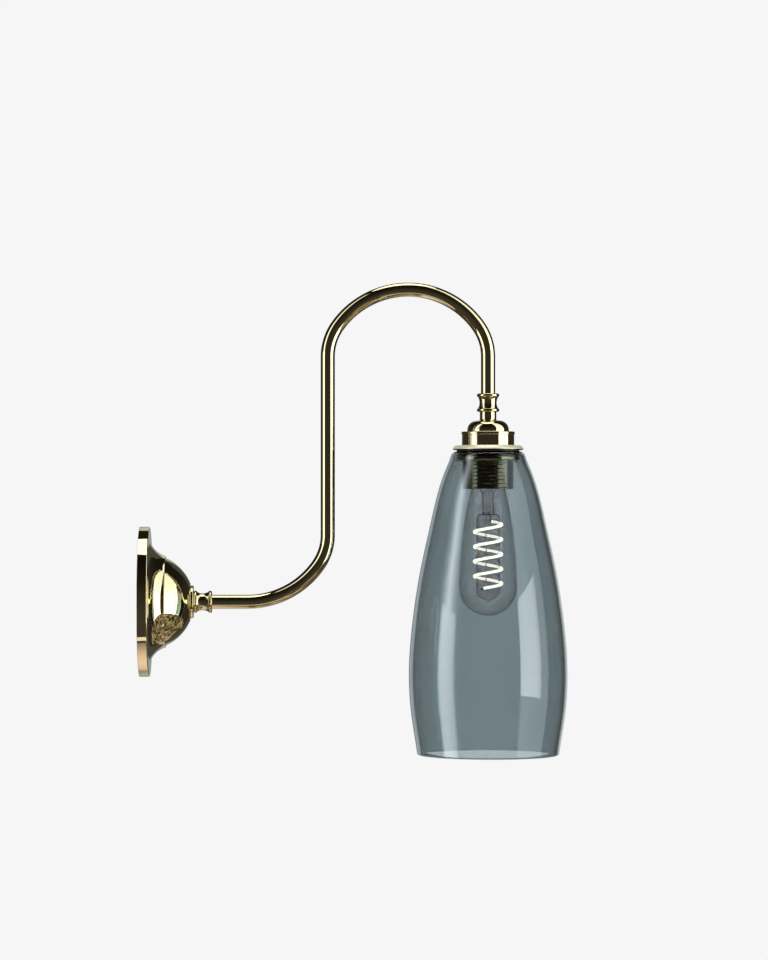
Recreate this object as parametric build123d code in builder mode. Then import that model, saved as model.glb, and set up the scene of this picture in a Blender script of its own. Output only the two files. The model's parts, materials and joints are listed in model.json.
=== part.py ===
from build123d import *
import math
import os

# Swan neck wall light, in millimetres.
# The wall is the plane X = 0, X points out into the room and Z points up.
# The origin is the centre of the wall plate's back. The lamp hangs on a vertical axis at X = arm_reach.

# Wall plate: a shallow round pan, open towards the wall
plate_r = 60.0
plate_depth = 8.2
plate_wall = 2.5
plate_web = 2.5
plate_edge_r = 1.0
cable_hole_r = 12.0

# Wall strap: a steel strip behind the plate, slotted for the wall screws
strap_t = 2.0
strap_w = 26.0
strap_neck_w = 10.0
strap_neck_len = 4.5
strap_cable_r = 9.0
strap_rim_gap = 0.3
strap_web_gap = 0.5
wall_hole_pitch = 60.0
wall_slot_w = 5.0
wall_slot_len = 9.0

# Rim screws that hold the plate to the strap's end tabs
rim_screw_r = 1.5
rim_screw_len = 5.0
rim_screw_set = 0.2

# Dome cover: a spun shell with a hollow foot, a lip and a dome
cover_wall = 1.2
cover_foot_r = 48.6
cove_top_r = 36.8
cove_height = 12.8
cove_arc_r = 22.4
dome_r = 38.6
dome_seat_r = 14.9
dome_height = 32.4

# Bridge inside the cover, its screws, and what clamps the nipple to it
bridge_w = 18.0
bridge_t = 2.0
bridge_height = 21.6
bridge_leg = 22.0
bridge_foot_len = 12.5
bridge_screw_r = 1.9
bridge_screw_head_r = 3.5
bridge_screw_head_h = 2.2
nut_across_flats = 17.0
nut_h = 5.0
washer_r = 8.8
washer_t = 1.0
nipple_tail = 2.0

# Hollow nipples and the two turned couplings
nipple_r = 5.0
nipple_bore_r = 3.6
nipple_grip = 6.0
flange_r = 13.3
flange_h = 2.6
flange_edge_r = 0.9
coupling_len = 14.7
coupling_bead_r = 9.0
coupling_bead_w = 2.9
coupling_bead_drop = 1.0
coupling_waist_r = 6.85
coupling_stop = 1.2

# Arm tube: each bend is a wide arc eased into the straights by a tighter one
tube_r = 5.7
tube_wall = 1.1
arm_reach = 278.7
arm_top = 249.7
arm_major_r = 69.1
arm_minor_r = 42.3
arm_minor_turn = 35.5
arm_drop = 29.6

# Wiring
flex_r = 3.0
flex_bare = 3.0
core_r = 0.9
core_spacing = 1.9
core_bend_r = 1.6
core_depth = 3.0
core_fan_run = 4.8
core_fan_drop = 2.4

# Terminal block and earth pillar on the plate
block_inner_y = 16.0
block_w = 11.0
block_len = 19.0
block_h = 11.5
block_way_pitch = 10.0
block_way_h = 5.6
clamp_r = 2.1
clamp_bore_r = 1.2
clamp_end_gap = 1.0
clamp_screw_r = 1.2
clamp_screw_inset = 2.8
block_screw_r = 1.3
block_screw_head_r = 2.2
block_screw_head_h = 2.0
pillar_w = 7.0
pillar_h = 9.0
pillar_stud_r = 1.9

# Lampholder cap
neck_r = 6.6
neck_len = 6.9
cap_r = 16.6
cap_h = 8.9
cap_shoulder_r = 7.5
cap_wall = 1.8
cap_lip_r = 21.3
cap_lip_h = 2.3
cap_lip_edge_r = 0.6
cap_spigot_wall = 2.2
cap_spigot_len = 5.0
grub_r = 1.4
grub_proud = 0.8

# Lampholder body with its threaded skirt
barrel_r = 20.9
barrel_h = 8.8
barrel_bore_r = 19.3
skirt_h = 35.0
skirt_crest_r = 20.6
skirt_root_r = 19.8
skirt_bore_r = 18.4
skirt_pitch = 3.0
skirt_plain = 1.6

# Gallery disc, gaskets, shade ring
disc_r = 28.3
disc_h = 3.7
disc_bevel_w = 2.1
disc_bevel_h = 2.2
disc_under_bevel = 0.8
upper_gasket_r = 25.0
upper_gasket_h = 0.9
lower_gasket_r = 24.3
lower_gasket_h = 1.0
gasket_gap = 0.4
shade_ring_r = 25.6
shade_ring_h = 4.0
shade_ring_edge_r = 0.6
shade_ring_gap = 0.3

# Glass shade: radius against depth below its top, then its widest place and its mouth
glass_wall = 3.0
glass_hole_gap = 1.0
glass_lip_r = 24.6
glass_shoulder_r = 5.5
glass_shoulder_turn = 73.0
glass_flank = ((34.6, 16.0), (46.3, 58.6), (54.6, 97.0), (60.4, 135.4))
glass_belly_r = 63.4
glass_belly_depth = 178.8
glass_tuck_r = 61.4
glass_tuck_depth = 211.0
glass_mouth_r = 56.8
glass_height = 242.8
glass_rim_h = 1.4

# Porcelain core, screw shell and contacts
core_gap = 0.1
core_flange_h = 3.4
core_skirt_end = 5.0
core_bore_gap = 0.15
core_chamber_r = 9.0
shell_r = 14.6
shell_minor_r = 13.45
shell_major_r = 14.2
shell_len = 19.5
shell_set = 2.0
shell_flange_r = 7.5
shell_flange_t = 0.6
screw_pitch = 3.63
contact_w = 6.0
contact_t = 0.6
contact_gap = 0.3
contact_foot_x = 6.5
rivet_r = 1.2
rivet_head_r = 1.9
rivet_head_h = 0.7
rivet_ring_r = 9.2
rivet_set = 2.0
terminal_x = 8.2
terminal_w = 6.4
terminal_depth = 7.0
terminal_h = 6.0
terminal_screw_r = 1.2
terminal_screw_proud = 1.4
cap_pillar_w = 5.0
cap_pillar_gap = 0.2
cap_pillar_depth = 3.4
cap_pillar_back = 0.6
cap_pillar_h = 5.6

# Bulb: screw cap, glass, stem with its column, and the spiral filament
bulb_joint_rise = 3.1
bulb_collar_r = 13.4
bulb_collar_h = 3.0
bulb_cap_root_r = 12.2
bulb_cap_crest_r = 13.1
bulb_cap_wall = 0.6
bulb_cap_h = 20.0
bulb_cap_turns = 4
bulb_insulator_r = 10.9
bulb_seat_w = 1.5
bulb_insulator_h = 4.0
bulb_tip_r = 4.8
bulb_tip_h = 1.3
bulb_tip_edge_r = 0.6
bulb_tip_stem_r = 1.0
bulb_neck_gap = 0.1
bulb_neck_len = 2.3
bulb_neck_drop = 1.0
bulb_glass_wall = 0.8
bulb_max_r = 23.4
bulb_flank_h = 79.9
stem_flare_gap = 0.15
stem_flare_h = 9.0
stem_r = 4.5
stem_bore_r = 1.2
stem_h = 16.5
column_r = 9.4
column_wall = 0.8
column_h = 64.0
column_tip_h = 5.0
column_tip_r = 3.0
board_w = 14.0
board_t = 1.2
board_h = 15.0
lead_r = 0.4
lead_bend_r = 1.5
lead_inset = 4.0
lead_exit_rise = 5.5
lead_gap = 0.15
filament_r = 1.1
coil_r = 11.0
coil_pitch = 11.75
coil_low_angle = -100.0
coil_high_angle = 1500.0
coil_rise = 5.4
sleeve_r = 1.25
sleeve_len = 2.4

# Screwdriver slots, and the shares of a thread's pitch that a ridge's flanks and its crest take
driver_slot_w = 0.7
driver_slot_depth = 0.7
ridge_flank = 0.3
ridge_crest = 0.2

# Clearances that pieces share
slip = 0.05
screw_clear = 0.1
wire_clear = 0.3

# Places along the wall axis
web_back = plate_depth - plate_web
cover_top = plate_depth + dome_height
coupling_base = cover_top + flange_h
coupling_front = coupling_base + coupling_len
socket_depth = coupling_len - nipple_grip - coupling_stop
bridge_top = plate_depth + bridge_height
bridge_under = bridge_top - bridge_t
nut_back = bridge_under - washer_t - nut_h
nipple_back = nut_back - nipple_tail
flex_wall_end = nipple_back - flex_bare
way_x = plate_depth + block_way_h

# Places along the arm
arm_heading = 90.0 - arm_minor_turn
heading_sin = math.sin(math.radians(arm_heading))
heading_cos = math.cos(math.radians(arm_heading))
bend_span = arm_minor_r * (1 - heading_sin) + arm_major_r * heading_sin
bend_rise = arm_minor_r * heading_cos + arm_major_r * (1 - heading_cos)
riser_x = arm_reach - 2 * bend_span
run_end = riser_x - bend_span
spring_z = arm_top - bend_rise
drop_end = spring_z - arm_drop

# Heights on the lamp axis, from the coupling down
lamp_coupling_base = drop_end - coupling_len
cap_top = lamp_coupling_base - neck_len
cap_ceiling = cap_top - cap_wall
cap_seat = cap_top - cap_h
barrel_top = cap_seat - cap_lip_h
spigot_end = barrel_top - cap_spigot_len
skirt_top = barrel_top - barrel_h
skirt_end = skirt_top - skirt_h
disc_under = skirt_top - disc_h
glass_top = disc_under - upper_gasket_h
glass_under = glass_top - glass_wall
ring_top = glass_under - lower_gasket_h
ring_under = ring_top - shade_ring_h
core_top = spigot_end
core_ledge = core_top - core_flange_h
core_end = skirt_end + core_skirt_end
flex_lamp_end = cap_ceiling - flex_bare + core_r

# Heights of the bulb
bulb_joint = skirt_end + bulb_joint_rise
bulb_cap_top = bulb_joint + bulb_cap_h
bulb_insulator_top = bulb_cap_top + bulb_insulator_h
bulb_tip_top = bulb_insulator_top + bulb_tip_h
bulb_shoulder = bulb_joint - bulb_neck_drop
bulb_belly = bulb_shoulder - bulb_flank_h
bulb_neck_top = bulb_joint + bulb_neck_len
bulb_collar_bore = bulb_collar_r - bulb_cap_wall
bulb_neck_r = bulb_collar_bore - bulb_neck_gap
stem_top = bulb_neck_top
stem_waist = stem_top - stem_flare_h
column_top = stem_waist - stem_h
column_end = column_top - column_h
contact_low = bulb_tip_top + contact_gap
core_chamber_top = contact_low + contact_t + contact_gap + contact_t
shell_top = core_end + shell_set + shell_len

# Shared section planes: local x is the radius, local y runs along the axis
wall_section = Plane(origin=(0, 0, 0), x_dir=(0, 0, 1), z_dir=(0, 1, 0))
lamp_section = Plane(origin=(arm_reach, 0, 0), x_dir=(1, 0, 0), z_dir=(0, -1, 0))
lamp_axis = Axis((arm_reach, 0, 0), (0, 0, 1))

os.makedirs("parts", exist_ok=True)


def band(inner_r, outer_r, low, high):
    """One rectangle of a turned piece's half section, from its radii and its two ends."""
    with Locations(((inner_r + outer_r) / 2, (low + high) / 2)):
        Rectangle(outer_r - inner_r, high - low)


def ridges(root_r, crest_r, low, pitch, count):
    """Thread ridges of a half section, one blunt ridge a turn."""
    for turn in range(count):
        start = low + turn * pitch
        Polygon(
            (root_r, start),
            (crest_r, start + ridge_flank * pitch),
            (crest_r, start + (ridge_flank + ridge_crest) * pitch),
            (root_r, start + (2 * ridge_flank + ridge_crest) * pitch),
            align=None,
        )


def spool_outline(base):
    """Half section of a coupling: two beads and a waist, with the nipple's bore and the tube's socket."""
    end = base + coupling_len
    bead_root = coupling_bead_r - coupling_bead_drop
    first_bead = base + coupling_bead_w
    last_bead = end - coupling_bead_w
    bore_r = nipple_r + slip
    socket_r = tube_r + slip
    pass_r = tube_r - tube_wall
    stop_low = base + nipple_grip
    stop_high = stop_low + coupling_stop
    Line((bore_r, base), (bead_root, base))
    ThreePointArc((bead_root, base), (coupling_bead_r, base + coupling_bead_w / 2), (bead_root, first_bead))
    ThreePointArc((bead_root, first_bead), (coupling_waist_r, (base + end) / 2), (bead_root, last_bead))
    ThreePointArc((bead_root, last_bead), (coupling_bead_r, end - coupling_bead_w / 2), (bead_root, end))
    Polyline(
        (bead_root, end),
        (socket_r, end),
        (socket_r, stop_high),
        (pass_r, stop_high),
        (pass_r, stop_low),
        (bore_r, stop_low),
        (bore_r, base),
    )


def arm_route(start_x, end_z):
    """Centre line of the swan neck, from a point on the wall axis to a height on the lamp axis."""
    run = Line((start_x, 0), (run_end, 0))
    sweep_up = JernArc(run @ 1, run % 1, arm_major_r, arm_heading)
    ease_up = JernArc(sweep_up @ 1, sweep_up % 1, arm_minor_r, arm_minor_turn)
    riser = Line(ease_up @ 1, (riser_x, spring_z))
    ease_over = JernArc(riser @ 1, riser % 1, arm_minor_r, -arm_minor_turn)
    arch = JernArc(ease_over @ 1, ease_over % 1, arm_major_r, -2 * arm_heading)
    ease_down = JernArc(arch @ 1, arch % 1, arm_minor_r, -arm_minor_turn)
    Line(ease_down @ 1, (arm_reach, end_z))


def wire(points, radius, bend_r):
    """A round wire through points, with its corners rounded."""
    with BuildLine() as route:
        FilletPolyline(*points, radius=bend_r)
    with BuildSketch(Plane(route.line ^ 0)) as section:
        Circle(radius)
    sweep(sections=section.sketch, path=route.line)


def driver_slot(end_r):
    """A screwdriver slot across a round end, cut at the current place."""
    Box(driver_slot_w, 3 * end_r, 2 * driver_slot_depth, mode=Mode.SUBTRACT)


def pan_screw(plane, head_r, head_h, shank_r, shank_len):
    """A slotted pan screw, its head standing on the plane and its shank going down from it."""
    with Locations(plane):
        Cylinder(head_r, head_h, align=(Align.CENTER, Align.CENTER, Align.MIN))
        Cylinder(shank_r, shank_len, align=(Align.CENTER, Align.CENTER, Align.MAX))
    with Locations(plane.offset(head_h)):
        driver_slot(head_r)


def drilled(plane, radius, depth):
    """A plain round hole that goes down from the plane."""
    with Locations(plane):
        Cylinder(
            radius,
            depth,
            align=(Align.CENTER, Align.CENTER, Align.MAX),
            mode=Mode.SUBTRACT,
        )


def outward(x, y, z):
    """A plane that faces into the room."""
    return Plane(origin=(x, y, z), x_dir=(0, 1, 0), z_dir=(1, 0, 0))


def lamp_plane(x, y, z, facing):
    """A plane placed from the lamp axis, facing the given way."""
    return Plane(origin=(arm_reach + x, y, z), z_dir=facing)


# Wall strap: flat strip with a narrow neck at each end that turns forward into a tapped tab
plate_bore_r = plate_r - plate_wall
tab_outer = math.sqrt(plate_bore_r**2 - (strap_neck_w / 2) ** 2) - strap_rim_gap
tab_reach = web_back - strap_web_gap
strap_half = tab_outer - strap_neck_len
rim_screw_x = (strap_t + tab_reach) / 2
rim_planes = [
    Plane(origin=(rim_screw_x, 0, side * plate_r), z_dir=(0, 0, side)) for side in (1, -1)
]

with BuildPart() as wall_strap:
    with BuildSketch(outward(0, 0, 0)):
        Rectangle(strap_w, 2 * strap_half)
        Rectangle(strap_neck_w, 2 * tab_outer)
        Circle(strap_cable_r, mode=Mode.SUBTRACT)
        with Locations((0, wall_hole_pitch / 2), (0, -wall_hole_pitch / 2)):
            SlotOverall(wall_slot_len, wall_slot_w, rotation=90, mode=Mode.SUBTRACT)
    extrude(amount=strap_t)
    with BuildSketch(outward(strap_t, 0, 0)):
        with Locations((0, tab_outer - strap_t / 2), (0, strap_t / 2 - tab_outer)):
            Rectangle(strap_neck_w, strap_t)
    extrude(amount=tab_reach - strap_t)
    for rim_plane in rim_planes:
        drilled(rim_plane, rim_screw_r + slip, plate_r - tab_outer + 2 * strap_t)
wall_strap.part.label = "wall_strap"
export_step(wall_strap.part, "parts/wall_strap.step")

# Rim screws: slotted grub screws, sunk just below the plate's rim
with BuildPart() as rim_screws:
    for rim_plane in rim_planes:
        with Locations(rim_plane.offset(-rim_screw_set)):
            Cylinder(rim_screw_r, rim_screw_len, align=(Align.CENTER, Align.CENTER, Align.MAX))
            driver_slot(rim_screw_r)
rim_screws.part.label = "rim_screws"
export_step(rim_screws.part, "parts/rim_screws.step")

# Wall plate: web and rim, with the cable's hole and the screw holes
bridge_hole_z = bridge_leg + bridge_foot_len / 2
bridge_planes = [outward(plate_depth + bridge_t, 0, side * bridge_hole_z) for side in (1, -1)]
block_mid_y = block_inner_y + block_w / 2
pillar_mid_y = -(block_inner_y + pillar_w / 2)

with BuildPart() as wall_plate:
    with BuildSketch(wall_section):
        band(cable_hole_r, plate_r, web_back, plate_depth)
        band(plate_bore_r, plate_r, 0, plate_depth)
    revolve(axis=Axis.X)
    rim_edges = edges().filter_by(GeomType.CIRCLE).group_by(SortBy.RADIUS)[-1]
    fillet(rim_edges.sort_by(Axis.X)[-1], plate_edge_r)
    for rim_plane in rim_planes:
        drilled(rim_plane, rim_screw_r + slip, 2 * plate_wall)
    for bridge_plane in bridge_planes:
        drilled(bridge_plane, bridge_screw_r + screw_clear, 2 * plate_web + bridge_t)
    drilled(outward(plate_depth, block_mid_y, 0), block_screw_r + screw_clear, 2 * plate_web)
    drilled(outward(plate_depth, pillar_mid_y, 0), pillar_stud_r + slip, 2 * plate_web)
wall_plate.part.label = "wall_plate"
export_step(wall_plate.part, "parts/wall_plate.step")

# Dome cover: the outside is turned from its outline, and the same outline, set in, hollows it
cove_top = plate_depth + cove_height
dome_centre = cover_top - math.sqrt(dome_r**2 - dome_seat_r**2)
cove_wall = cover_wall * math.sqrt(2)
dome_inner_r = dome_r - cover_wall
seat_inner = cover_top - cover_wall
step_inner = cove_top - cover_wall


def dome_radius(radius, x):
    """Radius of the dome's sphere at a distance from the wall."""
    return math.sqrt(radius**2 - (x - dome_centre) ** 2)


def dome_arc(radius, start_x, end_x):
    """Arc of the dome's sphere between two distances from the wall."""
    middle_x = (start_x + end_x) / 2
    ThreePointArc(
        (dome_radius(radius, start_x), start_x),
        (dome_radius(radius, middle_x), middle_x),
        (dome_radius(radius, end_x), end_x),
    )


with BuildPart() as dome_cover:
    with BuildSketch(wall_section):
        with BuildLine():
            Line((0, plate_depth), (cover_foot_r, plate_depth))
            RadiusArc((cover_foot_r, plate_depth), (cove_top_r, cove_top), cove_arc_r)
            Line((cove_top_r, cove_top), (dome_radius(dome_r, cove_top), cove_top))
            dome_arc(dome_r, cove_top, cover_top)
            Polyline((dome_seat_r, cover_top), (0, cover_top), (0, plate_depth))
        make_face()
        with BuildLine():
            Line((0, plate_depth), (cover_foot_r - cove_wall, plate_depth))
            RadiusArc(
                (cover_foot_r - cove_wall, plate_depth),
                (cove_top_r - cove_wall, step_inner),
                cove_arc_r,
            )
            Line(
                (cove_top_r - cove_wall, step_inner),
                (dome_radius(dome_inner_r, step_inner), step_inner),
            )
            dome_arc(dome_inner_r, step_inner, seat_inner)
            Polyline(
                (dome_radius(dome_inner_r, seat_inner), seat_inner),
                (0, seat_inner),
                (0, plate_depth),
            )
        make_face(mode=Mode.SUBTRACT)
    revolve(axis=Axis.X)
    drilled(outward(cover_top, 0, 0), nipple_r + screw_clear, 2 * cover_wall)
dome_cover.part.label = "dome_cover"
export_step(dome_cover.part, "parts/dome_cover.step")

# Bridge: a hat-shaped strip that spans the cable's hole inside the cover
bridge_foot_end = bridge_leg + bridge_foot_len
bridge_foot_top = plate_depth + bridge_t
bridge_inner_leg = bridge_leg - bridge_t
bridge_side = [
    (bridge_under, bridge_inner_leg),
    (plate_depth, bridge_inner_leg),
    (plate_depth, bridge_foot_end),
    (bridge_foot_top, bridge_foot_end),
    (bridge_foot_top, bridge_leg),
    (bridge_top, bridge_leg),
]
bridge_mirrored = [(x, -z) for x, z in reversed(bridge_side)]

with BuildPart() as bridge:
    with BuildSketch(Plane.XZ):
        with BuildLine():
            Polyline(*bridge_side, *bridge_mirrored, close=True)
        make_face()
    extrude(amount=bridge_w / 2, both=True)
    drilled(outward(bridge_top, 0, 0), nipple_r + screw_clear, 2 * bridge_t)
    for bridge_plane in bridge_planes:
        drilled(bridge_plane, bridge_screw_r + screw_clear, 2 * bridge_t)
bridge.part.label = "bridge"
export_step(bridge.part, "parts/bridge.step")

# Bridge screws, through the bridge's feet into the plate
with BuildPart() as bridge_screws:
    for bridge_plane in bridge_planes:
        pan_screw(
            bridge_plane,
            bridge_screw_head_r,
            bridge_screw_head_h,
            bridge_screw_r,
            bridge_t + plate_web,
        )
bridge_screws.part.label = "bridge_screws"
export_step(bridge_screws.part, "parts/bridge_screws.step")

# Hollow nipple, lock washer and lock nut that clamp the arm and the cover to the bridge
with BuildPart() as wall_nipple:
    with BuildSketch(wall_section):
        band(nipple_bore_r, nipple_r, nipple_back, coupling_base + nipple_grip)
    revolve(axis=Axis.X)
wall_nipple.part.label = "wall_nipple"
export_step(wall_nipple.part, "parts/wall_nipple.step")

with BuildPart() as lock_washer:
    with BuildSketch(wall_section):
        band(nipple_r + screw_clear, washer_r, bridge_under - washer_t, bridge_under)
    revolve(axis=Axis.X)
lock_washer.part.label = "lock_washer"
export_step(lock_washer.part, "parts/lock_washer.step")

with BuildPart() as lock_nut:
    with BuildSketch(outward(nut_back, 0, 0)):
        RegularPolygon(nut_across_flats / 2, 6, major_radius=False)
        Circle(nipple_r + slip, mode=Mode.SUBTRACT)
    extrude(amount=nut_h)
lock_nut.part.label = "lock_nut"
export_step(lock_nut.part, "parts/lock_nut.step")

# Flange and wall coupling
with BuildPart() as cover_flange:
    with BuildSketch(wall_section):
        band(nipple_r + screw_clear, flange_r, cover_top, coupling_base)
    revolve(axis=Axis.X)
    fillet(edges().filter_by(GeomType.CIRCLE).group_by(SortBy.RADIUS)[-1], flange_edge_r)
cover_flange.part.label = "cover_flange"
export_step(cover_flange.part, "parts/cover_flange.step")

with BuildPart() as wall_coupling:
    with BuildSketch(wall_section):
        with BuildLine():
            spool_outline(coupling_base)
        make_face()
    revolve(axis=Axis.X)
wall_coupling.part.label = "wall_coupling"
export_step(wall_coupling.part, "parts/wall_coupling.step")

# Arm tube, from the socket of one coupling to the socket of the other
tube_start = coupling_front - socket_depth
tube_end = drop_end - socket_depth

with BuildPart() as arm_tube:
    with BuildLine(Plane.XZ) as tube_path:
        arm_route(tube_start, tube_end)
    with BuildSketch(outward(tube_start, 0, 0)):
        Circle(tube_r)
        Circle(tube_r - tube_wall, mode=Mode.SUBTRACT)
    sweep(path=tube_path.line)
arm_tube.part.label = "arm_tube"
export_step(arm_tube.part, "parts/arm_tube.step")

# Lamp coupling and the nipple that joins it to the lampholder's cap
with BuildPart() as lamp_coupling:
    with BuildSketch(lamp_section):
        with BuildLine():
            spool_outline(lamp_coupling_base)
        make_face()
    revolve(axis=lamp_axis)
lamp_coupling.part.label = "lamp_coupling"
export_step(lamp_coupling.part, "parts/lamp_coupling.step")

with BuildPart() as lamp_nipple:
    with BuildSketch(lamp_section):
        band(nipple_bore_r, nipple_r, cap_ceiling, lamp_coupling_base + nipple_grip)
    revolve(axis=lamp_axis)
lamp_nipple.part.label = "lamp_nipple"
export_step(lamp_nipple.part, "parts/lamp_nipple.step")

# Inner flex: its sheath runs through both nipples and the arm
with BuildPart() as inner_flex:
    with BuildLine(Plane.XZ) as flex_path:
        arm_route(flex_wall_end, flex_lamp_end)
    with BuildSketch(outward(flex_wall_end, 0, 0)):
        Circle(flex_r)
    sweep(path=flex_path.line)
inner_flex.part.label = "inner_flex"
export_step(inner_flex.part, "parts/inner_flex.step")

# Lampholder cap: neck, domed top, lip, and the spigot that screws into the body
spigot_r = barrel_bore_r - slip
spigot_bore = spigot_r - cap_spigot_wall
cap_bore = cap_r - cap_wall
cap_inner_shoulder = cap_shoulder_r - cap_wall
shoulder_low = cap_top - cap_shoulder_r
lip_ceiling = cap_seat - cap_wall / 2
grub_plane = lamp_plane(0, neck_r, cap_top + neck_len / 2, (0, 1, 0))
cap_pillar_y = nipple_r + cap_pillar_gap + cap_pillar_depth / 2

with BuildPart() as lampholder_cap:
    with BuildSketch(lamp_section):
        with BuildLine():
            Polyline(
                (nipple_r + slip, lamp_coupling_base),
                (neck_r, lamp_coupling_base),
                (neck_r, cap_top),
                (cap_r - cap_shoulder_r, cap_top),
            )
            RadiusArc((cap_r - cap_shoulder_r, cap_top), (cap_r, shoulder_low), cap_shoulder_r)
            Polyline(
                (cap_r, shoulder_low),
                (cap_r, cap_seat),
                (cap_lip_r, cap_seat),
                (cap_lip_r, barrel_top),
                (spigot_r, barrel_top),
                (spigot_r, spigot_end),
                (spigot_bore, spigot_end),
                (spigot_bore, lip_ceiling),
                (cap_bore, lip_ceiling),
                (cap_bore, shoulder_low),
            )
            RadiusArc(
                (cap_bore, shoulder_low),
                (cap_bore - cap_inner_shoulder, cap_ceiling),
                -cap_inner_shoulder,
            )
            Polyline(
                (cap_bore - cap_inner_shoulder, cap_ceiling),
                (nipple_r + slip, cap_ceiling),
                (nipple_r + slip, lamp_coupling_base),
            )
        make_face()
    revolve(axis=lamp_axis)
    lip_edges = edges().filter_by(GeomType.CIRCLE).group_by(SortBy.RADIUS)[-1]
    fillet(lip_edges, cap_lip_edge_r)
    drilled(grub_plane, grub_r + slip, neck_r - nipple_r)
lampholder_cap.part.label = "lampholder_cap"
export_step(lampholder_cap.part, "parts/lampholder_cap.step")

with BuildPart() as neck_screw:
    with Locations(grub_plane.offset(grub_proud)):
        Cylinder(
            grub_r,
            grub_proud + neck_r - nipple_r - slip,
            align=(Align.CENTER, Align.CENTER, Align.MAX),
        )
        driver_slot(grub_r)
neck_screw.part.label = "neck_screw"
export_step(neck_screw.part, "parts/neck_screw.step")

# Lampholder body: plain barrel above, threaded skirt below, with a ledge inside for the core
skirt_turns = math.floor((skirt_h - disc_h - skirt_plain) / skirt_pitch)

with BuildPart() as lampholder_body:
    with BuildSketch(lamp_section):
        band(barrel_bore_r, barrel_r, skirt_top, barrel_top)
        band(skirt_bore_r, barrel_bore_r, skirt_end, core_ledge)
        band(barrel_bore_r, skirt_root_r, skirt_end, skirt_top)
        ridges(skirt_root_r, skirt_crest_r, skirt_end + skirt_plain / 2, skirt_pitch, skirt_turns)
    revolve(axis=lamp_axis)
lampholder_body.part.label = "lampholder_body"
export_step(lampholder_body.part, "parts/lampholder_body.step")

# Gallery disc with a bevelled edge, screwed up the skirt against the barrel
disc_bore_r = skirt_crest_r + slip
with BuildPart() as gallery_disc:
    with BuildSketch(lamp_section):
        with BuildLine():
            Polyline(
                (disc_bore_r, disc_under),
                (disc_r - disc_under_bevel, disc_under),
                (disc_r, disc_under + disc_under_bevel),
                (disc_r, skirt_top - disc_bevel_h),
                (disc_r - disc_bevel_w, skirt_top),
                (disc_bore_r, skirt_top),
                close=True,
            )
        make_face()
    revolve(axis=lamp_axis)
gallery_disc.part.label = "gallery_disc"
export_step(gallery_disc.part, "parts/gallery_disc.step")

# Gaskets above and below the glass
with BuildPart() as upper_gasket:
    with BuildSketch(lamp_section):
        band(skirt_crest_r + gasket_gap, upper_gasket_r, glass_top, disc_under)
    revolve(axis=lamp_axis)
upper_gasket.part.label = "upper_gasket"
export_step(upper_gasket.part, "parts/upper_gasket.step")

with BuildPart() as lower_gasket:
    with BuildSketch(lamp_section):
        band(skirt_crest_r + gasket_gap, lower_gasket_r, ring_top, glass_under)
    revolve(axis=lamp_axis)
lower_gasket.part.label = "lower_gasket"
export_step(lower_gasket.part, "parts/lower_gasket.step")

# Shade ring that screws up the skirt and carries the glass
with BuildPart() as shade_ring:
    with BuildSketch(lamp_section):
        band(skirt_crest_r + shade_ring_gap, shade_ring_r, ring_under, ring_top)
    revolve(axis=lamp_axis)
    ring_edges = edges().filter_by(GeomType.CIRCLE).group_by(SortBy.RADIUS)[-1]
    fillet(ring_edges, shade_ring_edge_r)
shade_ring.part.label = "shade_ring"
export_step(shade_ring.part, "parts/shade_ring.step")

# Glass shade: a lip with a hole, a round shoulder, a long flank that swells to the belly, and a mouth
shoulder_sin = math.sin(math.radians(glass_shoulder_turn))
shoulder_cos = math.cos(math.radians(glass_shoulder_turn))
glass_end = glass_top - glass_height
shoulder_heading = (shoulder_cos, -shoulder_sin)
mouth_heading = (glass_mouth_r - glass_tuck_r, glass_tuck_depth - glass_height)
glass_hole_r = skirt_crest_r + glass_hole_gap


def glass_side(set_in):
    """Outside of the glass, or its inside where set_in is the wall, from the hole down to the rim."""
    top = glass_top - set_in
    shoulder_r = glass_shoulder_r - set_in
    shoulder_end = (glass_lip_r + shoulder_r * shoulder_sin, top - shoulder_r * (1 - shoulder_cos))
    below = glass_flank + ((glass_belly_r, glass_belly_depth), (glass_tuck_r, glass_tuck_depth))
    side = [(radius - set_in, glass_top - depth) for radius, depth in below]
    mouth = (glass_mouth_r - set_in, glass_end + glass_rim_h)
    Line((glass_hole_r, top), (glass_lip_r, top))
    RadiusArc((glass_lip_r, top), shoulder_end, shoulder_r)
    Spline(shoulder_end, *side, mouth, tangents=(shoulder_heading, mouth_heading))


with BuildPart() as glass_shade:
    with BuildSketch(lamp_section):
        with BuildLine():
            glass_side(0)
            ThreePointArc(
                (glass_mouth_r, glass_end + glass_rim_h),
                (glass_mouth_r - glass_wall / 2, glass_end),
                (glass_mouth_r - glass_wall, glass_end + glass_rim_h),
            )
            glass_side(glass_wall)
            Line((glass_hole_r, glass_under), (glass_hole_r, glass_top))
        make_face()
    revolve(axis=lamp_axis)
glass_shade.part.label = "glass_shade"
export_step(glass_shade.part, "parts/glass_shade.step")

# Porcelain core: a cup for the screw shell, its flange clamped between the body's ledge and the cap
core_body_r = skirt_bore_r - core_gap
core_flange_r = barrel_bore_r - core_gap
core_bore_r = shell_r + core_bore_gap
core_ceiling = lamp_plane(0, 0, core_top, (0, 0, 1))
live_rivet_plane = lamp_plane(-contact_foot_x, 0, core_top + rivet_set, (0, 0, 1))
neutral_rivet_plane = lamp_plane(rivet_ring_r, 0, core_top + rivet_set, (0, 0, 1))
rivet_drill = core_top + rivet_set - shell_top + shell_flange_t

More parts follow.
